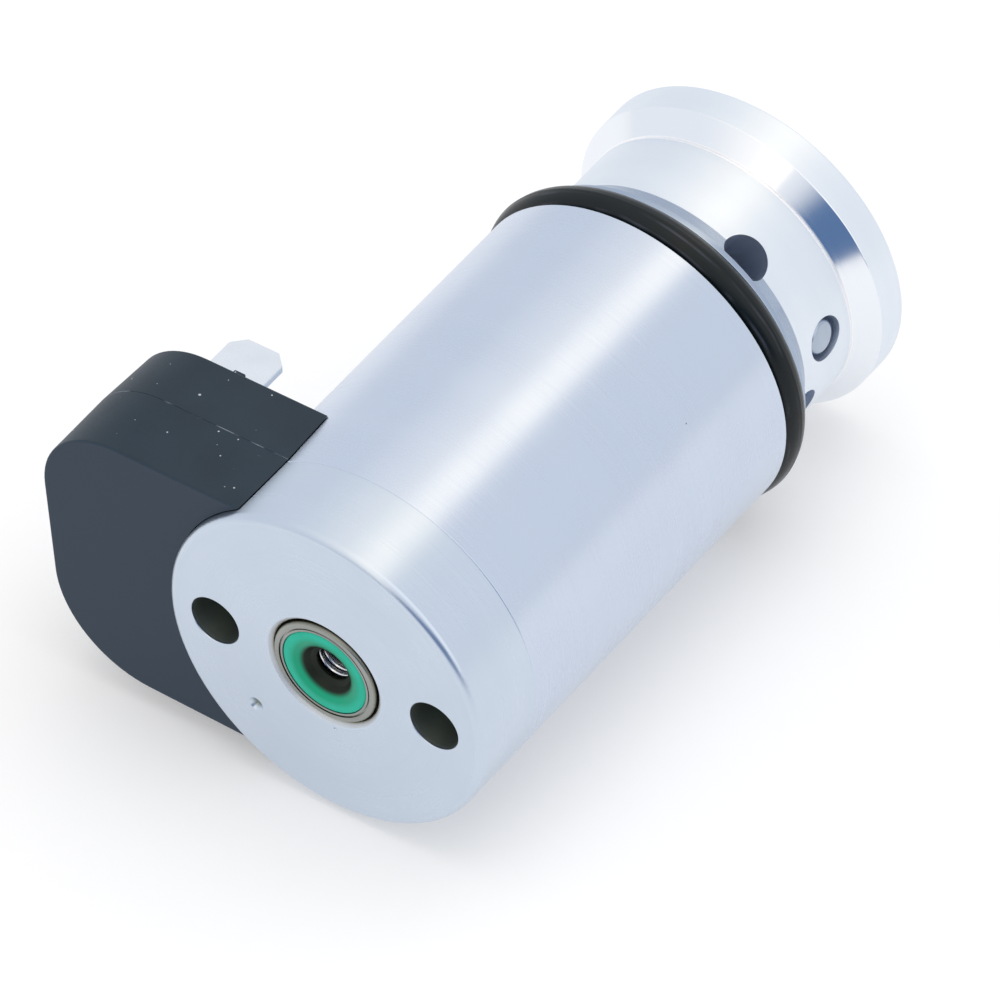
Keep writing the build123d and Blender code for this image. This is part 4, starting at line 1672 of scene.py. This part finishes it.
@dataclass
class Connector:
    """Two moulded halves with a parting line, two plinths, a small nub and the two blades."""

    can_radius: float = 18.09
    joint_y: float = 9.1
    front_y: float = 1.3
    rear_y: float = 16.1
    top: float = 15.3
    side: float = -33.35
    lower_side: float = -32.65
    bottom: float = -15.4
    bottom_at_can: float = -16.2
    inner_reach: float = -8.0
    upper_corner: float = 9.0
    lower_corner: float = 10.7
    corner_steps: int = 20
    hollow_steps: int = 40
    slant_rounds: int = 20
    cover_draft: float = 0.5
    housing_draft: float = 2.5
    edge_round: float = 0.22
    edge_steps: int = 6
    wall_rings: tuple[float, ...] = (0.25, 0.5, 0.75, 1.0)
    parting_round: float = 0.06
    parting_lip: float = 0.3
    wall: float = 1.8
    cavity_depth: float = 3.0
    cavity_mouth: float = 0.5
    blade_x: float = -25.3
    blade_z: float = 7.6
    blade_width: float = 6.3
    blade_thickness: float = 0.8
    blade_start: float = 6.6
    blade_length: float = 9.85
    blade_edge: float = 0.09
    tip_chamfer: float = 1.35
    tip_round: float = 0.3
    root: float = 0.8
    plinth: float = 0.4
    plinth_margin: float = 0.5
    plinth_round: float = 0.14
    slot_gap: float = 0.05
    nub_x: float = -20.7
    nub_size: tuple[float, float, float] = (1.3, 0.5, 0.8)
    nub_margin: float = 0.6
    nub_round: float = 0.16
    tongue: Point = (4.95, 12.7)
    tongue_reach: float = 15.9
    tongue_root: float = 0.9
    tongue_round: float = 0.1

    def ring(self, inset: float, y: float, can_radius: float) -> list[Vector]:
        """Gives the connector's outline at one distance along the axis.

        Args:
            inset: How far the free sides are drawn in.
            y: Distance along the axis.
            can_radius: Radius of the hollow that fits round the can.

        Returns:
            The closed outline's points.
        """
        top = self.top - inset
        start = Vector((-math.sqrt(can_radius**2 - top**2), top))
        corner = Vector((self.lower_side + inset, self.bottom + inset))
        slope = (self.bottom_at_can - self.bottom) / (self.inner_reach - self.lower_side)
        # The bottom is slanted, so its end on the can is found by drawing near step by step.
        x = self.inner_reach
        for _ in range(self.slant_rounds):
            z = corner.y + slope * (x - corner.x)
            x = -math.sqrt(can_radius**2 - z**2)
        end = Vector((x, corner.y + slope * (x - corner.x)))
        outline = Outline(self.corner_steps)
        outline.to(*start).to(self.side + inset, top, self.upper_corner - inset)
        outline.to(*corner, self.lower_corner - inset).to(*end)
        points = outline.points(closed=False)
        first = math.atan2(end.y, end.x) % FULL_TURN
        last = math.atan2(start.y, start.x) % FULL_TURN
        for step in range(1, self.hollow_steps):
            angle = first + (last - first) * step / self.hollow_steps
            points.append((can_radius * math.cos(angle), can_radius * math.sin(angle)))
        return [Vector((x, y, z)) for x, z in points]

    def shell(self, length: float, direction: int) -> bpy.types.Mesh:
        """Builds one half as a drafted, hollow moulding with a rounded outer edge.

        Args:
            length: Distance from the parting plane to the outer face.
            direction: -1 for the front half, 1 for the rear half.

        Returns:
            The mesh.
        """
        slope = math.tan(math.radians(self.cover_draft if direction < 0 else self.housing_draft))
        lip = self.parting_lip * self.parting_round
        straight = length - self.edge_round
        levels = [(self.parting_round, 0.0), (lip, lip)]
        for share in (self.parting_round / straight, *self.wall_rings):
            levels.append((slope * (straight * share), straight * share))
        for step in range(1, self.edge_steps + 1):
            angle = math.pi / 2 * step / self.edge_steps
            inset = slope * straight + self.edge_round * (1 - math.cos(angle))
            levels.append((inset, straight + self.edge_round * math.sin(angle)))
        body = self.stacked("half", levels, direction, self.can_radius)
        floor = length - self.wall if direction < 0 else self.cavity_depth
        cavity = [(self.wall, -self.cavity_mouth), (self.wall + slope * floor, floor)]
        return drill(body, [self.stacked("hollow", cavity, direction, self.can_radius + self.wall)])

    def stacked(
        self, name: str, levels: list[Point], direction: int, can_radius: float
    ) -> bpy.types.Mesh:
        """Lofts a half's outlines, each with its inset and its depth from the parting plane."""
        rings = [self.ring(inset, self.joint_y + direction * depth, can_radius) for inset, depth in levels]
        return loft(name, rings)

    def build(self, finishes: Finishes) -> None:
        """Builds both halves and the two blades.

        Args:
            finishes: The valve's materials.
        """
        cover = self.shell(self.joint_y - self.front_y, -1)
        publish("moulded_cover", cover, finishes.nylon, "connector_cover", crease=25)
        housing = self.shell(self.rear_y - self.joint_y, 1)
        root_y = self.rear_y - self.root
        half = self.blade_thickness / 2 + self.slot_gap
        reach = self.blade_width / 2 + self.slot_gap
        extras = []
        slots = []
        for side in (-1, 1):
            z = side * self.blade_z
            wide, high = reach + self.plinth_margin, half + self.plinth_margin
            low = (self.blade_x - wide, root_y, z - high)
            high_corner = (self.blade_x + wide, self.rear_y + self.plinth, z + high)
            extras.append(block("plinth", low, high_corner, self.plinth_round))
            low = (self.blade_x - reach, self.joint_y, z - half)
            slots.append(block("slot", low, (self.blade_x + reach, self.rear_y + OVERCUT, z + half)))
        width, length, height = self.nub_size
        nub_top = self.top - self.nub_margin
        low = (self.nub_x - width / 2, root_y, nub_top - height)
        extras.append(
            block("nub", low, (self.nub_x + width / 2, self.rear_y + length, nub_top), self.nub_round)
        )
        tongue_side, tongue_end = self.tongue
        low = (-self.can_radius - self.tongue_root, self.joint_y, -tongue_side)
        extras.append(block("tongue", low, (-self.tongue_reach, tongue_end, tongue_side), self.tongue_round))
        housing = drill(combine(housing, extras, Cut.TOGETHER), slots)
        publish("moulded_housing", housing, finishes.nylon, "connector_housing", crease=25)
        for side, label in ((1, "upper"), (-1, "lower")):
            blade = self.blade(side)
            publish(f"tinned_blade_{label}", blade, finishes.tin, f"terminal_blade_{label}", crease=25)

    def blade(self, side: int) -> bpy.types.Mesh:
        """Builds a blade with a chamfered tip and rounded edges.

        Args:
            side: 1 for the upper blade, -1 for the lower one.

        Returns:
            The mesh.
        """
        tip = self.rear_y + self.blade_length
        half = self.blade_width / 2
        edge = self.blade_edge
        half_thickness = self.blade_thickness / 2
        straight = half_thickness - edge
        levels = ((-half_thickness, edge), (-straight, 0.0), (straight, 0.0), (half_thickness, edge))
        rings = []
        for height, inset in levels:
            shoulder = tip - self.tip_chamfer
            outline = Outline(steps=4)
            outline.to(self.blade_x - half + inset, self.blade_start)
            outline.to(self.blade_x + half - inset, self.blade_start)
            outline.to(self.blade_x + half - inset, shoulder, self.tip_round)
            outline.to(self.blade_x + half - self.tip_chamfer - inset / 2, tip - inset, self.tip_round)
            outline.to(self.blade_x - half + self.tip_chamfer + inset / 2, tip - inset, self.tip_round)
            outline.to(self.blade_x - half + inset, shoulder, self.tip_round)
            rings.append([Vector((x, y, side * self.blade_z + height)) for x, y in outline.points()])
        return loft("blade", rings)


@dataclass
class SupplyEnd:
    """Sintered filter and snap ring in the flange end."""

    filter_radius: float = 6.95
    filter_start: float = 63.28
    filter_end: float = 64.58
    grain_radius: float = 0.17
    grain_spacing: float = 0.30
    grain_seed: int = 7
    ring_outer: float = 7.55
    ring_width: float = 1.7
    ring_start: float = 64.6
    ring_thickness: float = 0.9
    ring_opening: float = 6.0

    @staticmethod
    def build_grain_tree() -> bpy.types.NodeTree:
        """Builds the node tree that packs round grains on a disc's faces.

        Returns:
            The tree, with inputs for the disc's size, the grains and the material.
        """
        most_dense = 2.0e7  # grains on a square metre
        numbers = ("Disc Radius", "Start", "End", "Grain Radius", "Spacing")
        graph, entry = start_tree("sintered grains", (*numbers, "Seed", "Finish"))
        depth = graph.math("SUBTRACT", entry["End"], entry["Start"])
        middle = graph.math("MULTIPLY", graph.math("ADD", entry["End"], entry["Start"]), 0.5)
        disc_radius = graph.math("SUBTRACT", entry["Disc Radius"], entry["Grain Radius"])
        disc_depth = graph.math("SUBTRACT", depth, graph.math("MULTIPLY", entry["Grain Radius"], 2.0))
        disc = graph.add(
            "GeometryNodeMeshCylinder", vertices=HOLE_STEPS, radius=disc_radius, depth=disc_depth
        )
        shift = graph.add("ShaderNodeCombineXYZ", y=middle)
        lay = graph.add(
            "GeometryNodeTransform", geometry=disc.outputs["Mesh"], translation=shift.outputs[0],
            rotation=(math.pi / 2, 0, 0),
        )
        spread = graph.tree.nodes.new("GeometryNodeDistributePointsOnFaces")
        spread.distribute_method = "POISSON"
        graph.feed(spread.inputs["Mesh"], lay.outputs[0])
        graph.feed(spread.inputs["Distance Min"], entry["Spacing"])
        graph.feed(spread.inputs["Density Max"], most_dense)
        graph.feed(spread.inputs["Seed"], entry["Seed"])
        grain = graph.add("GeometryNodeMeshIcoSphere", radius=entry["Grain Radius"], subdivisions=2)
        place = graph.add(
            "GeometryNodeInstanceOnPoints", points=spread.outputs["Points"], instance=grain.outputs["Mesh"]
        )
        both = graph.add("GeometryNodeJoinGeometry")
        graph.feed(both.inputs[0], place.outputs[0])
        graph.feed(both.inputs[0], lay.outputs[0])
        return finish_tree(graph, both.outputs[0], entry["Finish"])

    def build(self, finishes: Finishes) -> None:
        """Builds the filter and the snap ring.

        Args:
            finishes: The valve's materials.
        """
        values = {
            "Disc Radius": self.filter_radius * MM,
            "Start": self.filter_start * MM,
            "End": self.filter_end * MM,
            "Grain Radius": self.grain_radius * MM,
            "Spacing": self.grain_spacing * MM,
            "Seed": self.grain_seed,
            "Finish": finishes.bronze,
        }
        grains = grown("grains", self.build_grain_tree(), values)
        publish("sintered_filter", grains, finishes.bronze, "inlet_filter", crease=50, weighted=False)
        inner, end = self.ring_outer - self.ring_width, self.ring_start + self.ring_thickness
        ring = split_ring(
            "snap", inner, self.ring_outer, self.ring_start, end, inner_round=0.12, gap=self.ring_opening,
            segments=128,
        )
        publish("snap_ring", ring, finishes.tube, "filter_ring")


def dress_inner_parts(finishes: Finishes) -> None:
    """Gives the CAD nodes that are still shown their materials.

    Args:
        finishes: The valve's materials.
    """
    choices = {
        "pole_core": finishes.core,
        "core_o_ring": finishes.black_rubber,
        "guide_tube": finishes.tube,
        "armature": finishes.core,
        "exhaust_seal": finishes.pad_rubber,
        "supply_seal": finishes.pad_rubber,
        "bobbin": finishes.nylon,
        "coil_winding": finishes.copper,
        "winding_tape": finishes.tape,
        "coil_lead_upper": finishes.red_lead,
        "coil_lead_lower": finishes.black_lead,
        "flux_ring": finishes.flux,
        "tube_o_ring": finishes.black_rubber,
        "supply_nozzle": finishes.core,
    }
    for node, finish in choices.items():
        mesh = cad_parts[node].data
        mesh.materials.clear()
        mesh.materials.append(finish)
        log.info("%s: CAD solid with %s", node, finish.name)


# Studio


@dataclass
class Studio:
    """Floor, world, lamp and the camera of the photograph."""

    azimuth: float = 37.918
    elevation: float = 44.85
    roll: float = -3.609
    can_radius: float = 18.0
    distance: float = 60.0
    shift_right: float = 0.9111
    shift_up: float = 0.8967
    lens: float = 417.9
    floor_z: float = -18.5
    floor_size: float = 3000.0
    floor_shades: tuple[Colour, Colour] = ((0.60, 0.60, 0.61), (0.62, 0.62, 0.63))
    floor_in_metal: Colour = (0.50, 0.505, 0.515)
    floor_glow: Colour = (0.46, 0.465, 0.475)
    dark_floor: Colour = (0.05, 0.09, 0.18)
    dark_floor_heading: Point = (0.65, -0.76)
    dark_floor_reach: Point = (140.0, 340.0)
    backdrop: Colour = (0.72, 0.72, 0.72)
    backdrop_glow: Colour = (0.30, 0.30, 0.30)
    sky_in_metal: Colour = (0.845, 0.875, 0.93)
    sheet: Colour = (1.18, 1.18, 1.2)
    sheet_width: Point = (0.22, 0.42)
    sheet_edge: Point = (-0.1, 0.2)
    screen: Colour = (0.10, 0.185, 0.36)
    screen_foot: Point = (-0.22, -0.12)
    screen_top: Point = (0.30, 0.49)
    screen_heading: Point = (0.58, -0.81)
    screen_width: Point = (0.74, 0.88)
    strip: Colour = (1.52, 1.42, 1.28)
    strip_start: Point = (67, 77)
    strip_shade: Point = (84, 101)
    strip_shade_share: float = 0.35
    strip_end: Point = (98, 142)
    soft_sky: tuple[Colour, Colour] = ((0.78, 0.78, 0.79), (0.80, 0.80, 0.81))
    soft_sky_rise: Point = (-0.2, 0.7)
    lamp_place: Corner = (40, 60, 480)
    lamp_target: Corner = (0, 35, 0)
    lamp_size: float = 400
    lamp_radiance: float = 1.6  # where 1 is white

    def build_camera(self) -> None:
        """Places the camera at the photograph's viewing angle."""
        a, e, r = (math.radians(v) for v in (self.azimuth, self.elevation, self.roll))
        back = Vector((math.sin(a) * math.cos(e), -math.cos(a) * math.cos(e), math.sin(e)))
        right = Vector((math.cos(a), math.sin(a), 0))
        up = back.cross(right)
        across = math.cos(r) * right + math.sin(r) * up
        upward = -math.sin(r) * right + math.cos(r) * up
        place = self.distance * back + self.shift_right * across + self.shift_up * upward
        data = bpy.data.cameras.new("camera")
        data.lens = self.lens
        data.sensor_width = 36
        data.clip_start = 0.01
        data.clip_end = 20
        camera = bpy.data.objects.new("camera", data)
        bpy.context.scene.collection.objects.link(camera)
        turn = Matrix((across, upward, back)).transposed().to_4x4()
        camera.matrix_world = Matrix.Translation(place * self.can_radius * MM) @ turn
        bpy.context.scene.camera = camera

    def build_floor(self) -> None:
        """Lays a plain pale floor under the valve."""
        half = self.floor_size / 2 * MM
        z = self.floor_z * MM
        mesh = bpy.data.meshes.new("floor")
        corners = [(-half, -half, z), (half, -half, z), (half, half, z), (-half, half, z)]
        mesh.from_pydata(corners, [], [(0, 1, 2, 3)])
        floor = bpy.data.objects.new("floor", mesh)
        bpy.context.scene.collection.objects.link(floor)
        material, graph, shader = start_material("pale floor")
        path = graph.add("ShaderNodeLightPath").outputs
        place = graph.add("ShaderNodeTexCoord").outputs["Object"]
        clouds = graph.noise(place, scale=12.0, detail=2.0)
        pale = graph.mix(graph.span(clouds, *NOISE_RANGE), *self.floor_shades)
        # Metal sees the floor half lit by itself, and dark far away at the front right, as the screen is.
        parts = graph.add("ShaderNodeSeparateXYZ", vector=place).outputs
        east, north = self.dark_floor_heading
        across = graph.math("MULTIPLY", parts[0], east / MM)
        ahead = graph.math("ADD", across, graph.math("MULTIPLY", parts[1], north / MM))
        distant = graph.span(ahead, *self.dark_floor_reach)
        shade = graph.mix(distant, self.floor_in_metal, self.dark_floor)
        glow = graph.mix(distant, self.floor_glow, self.dark_floor)
        base = graph.mix(path["Is Glossy Ray"], pale, shade)
        light = graph.mix(path["Is Glossy Ray"], (0.0, 0.0, 0.0), glow)
        seen = graph.math("MAXIMUM", path["Is Camera Ray"], path["Is Transmission Ray"])
        graph.fill(shader, "base_color", graph.mix(seen, base, self.backdrop))
        graph.fill(shader, "emission_color", graph.mix(seen, light, self.backdrop_glow))
        shader.inputs["Emission Strength"].default_value = 1.0
        shader.inputs["Roughness"].default_value = 0.9
        shader.inputs["Specular IOR Level"].default_value = 0.1
        mesh.materials.append(material)

    def build_world(self) -> None:
        """Makes the world: white to the camera, a soft studio to the metal."""
        world = bpy.data.worlds.new("studio")
        bpy.context.scene.world = world
        world.use_nodes = True
        world.node_tree.nodes.clear()
        graph = Graph(world.node_tree)
        direction = graph.add("ShaderNodeTexCoord").outputs["Generated"]
        x, y, z = graph.add("ShaderNodeSeparateXYZ", vector=direction).outputs
        # A strip of light overhead, along the valve's axis. Angles are about Y, from +X towards +Z.
        angle = graph.math("ARCTAN2", z, x)
        start, shade, end = (
            [math.radians(v) for v in span] for span in (self.strip_start, self.strip_shade, self.strip_end)
        )
        rise = graph.span(angle, *start)
        bright = graph.span(angle, *shade, 1.0, self.strip_shade_share)
        fall = graph.span(angle, *end, 1.0, 0.0)
        in_strip = graph.math("MULTIPLY", rise, graph.math("MULTIPLY", bright, fall))
        # A pale sheet abreast of the valve lights the rounded edges that face it.
        abreast = graph.span(graph.math("ABSOLUTE", y), *self.sheet_width, 1.0, 0.0)
        in_sheet = graph.math("MULTIPLY", abreast, graph.span(x, *self.sheet_edge))
        # A dark blue screen at the front right, behind the camera and lower than it.
        below_top = graph.span(z, *self.screen_top, 1.0, 0.0)
        low = graph.math("MULTIPLY", graph.span(z, *self.screen_foot), below_top)
        east, north = self.screen_heading
        ahead = graph.math("ADD", graph.math("MULTIPLY", x, east), graph.math("MULTIPLY", y, north))
        in_screen = graph.math("MULTIPLY", low, graph.span(ahead, *self.screen_width))
        studio = graph.mix(in_sheet, self.sky_in_metal, self.sheet)
        studio = graph.mix(in_screen, studio, self.screen)
        studio = graph.mix(in_strip, studio, self.strip)
        path = graph.add("ShaderNodeLightPath").outputs
        soft = graph.mix(graph.span(z, *self.soft_sky_rise), *self.soft_sky)
        colour = graph.mix(path["Is Glossy Ray"], soft, studio)
        colour = graph.mix(path["Is Camera Ray"], colour, (1.0, 1.0, 1.0))
        background = graph.add("ShaderNodeBackground", color=colour)
        graph.add("ShaderNodeOutputWorld", surface=background.outputs[0])

    def build_lamp(self) -> None:
        """Hangs a square soft lamp that faces the valve."""
        place = Vector(self.lamp_place)
        side = self.lamp_size * MM
        data = bpy.data.lights.new("key", "AREA")
        data.shape = "SQUARE"
        data.size = side
        data.energy = self.lamp_radiance * math.pi * side**2
        lamp = bpy.data.objects.new("key", data)
        lamp.visible_glossy = False
        bpy.context.scene.collection.objects.link(lamp)
        turn = (place - Vector(self.lamp_target)).to_track_quat("Z", "Y").to_matrix().to_4x4()
        lamp.matrix_world = Matrix.Translation(place * MM) @ turn

    def build(self) -> None:
        """Builds the whole studio."""
        self.build_camera()
        self.build_floor()
        self.build_world()
        self.build_lamp()
        bpy.context.scene.view_settings.view_transform = "Standard"


def main() -> None:
    """Builds the studio, the finishes and every piece of the valve."""
    Studio().build()
    finishes = Finishes(Effects())
    for assembly in (EndCap(), CoilCan(), ValveBody(), OuterSeals(), PortSeal()):
        assembly.build(finishes)
    tree = CoilSpring.build_tree()
    CoilSpring(
        name="seal_coil_spring", node="seal_spring", joint="face_seal_press", mean_radius=1.98,
        wire_radius=0.27, turns=7.5, start=1.62, end=7.48, anchor_y=7.48, travel=0.5,
    ).build(tree, finishes.wire)
    CoilSpring(
        name="return_coil_spring", node="return_spring", joint="armature_lift", mean_radius=3.5,
        wire_radius=0.35, turns=7.0, start=22.52, end=32.48, anchor_y=22.52, travel=0.9,
    ).build(tree, finishes.wire)
    for assembly in (Connector(), SupplyEnd()):
        assembly.build(finishes)
    dress_inner_parts(finishes)


if __name__ == "__main__":
    main()
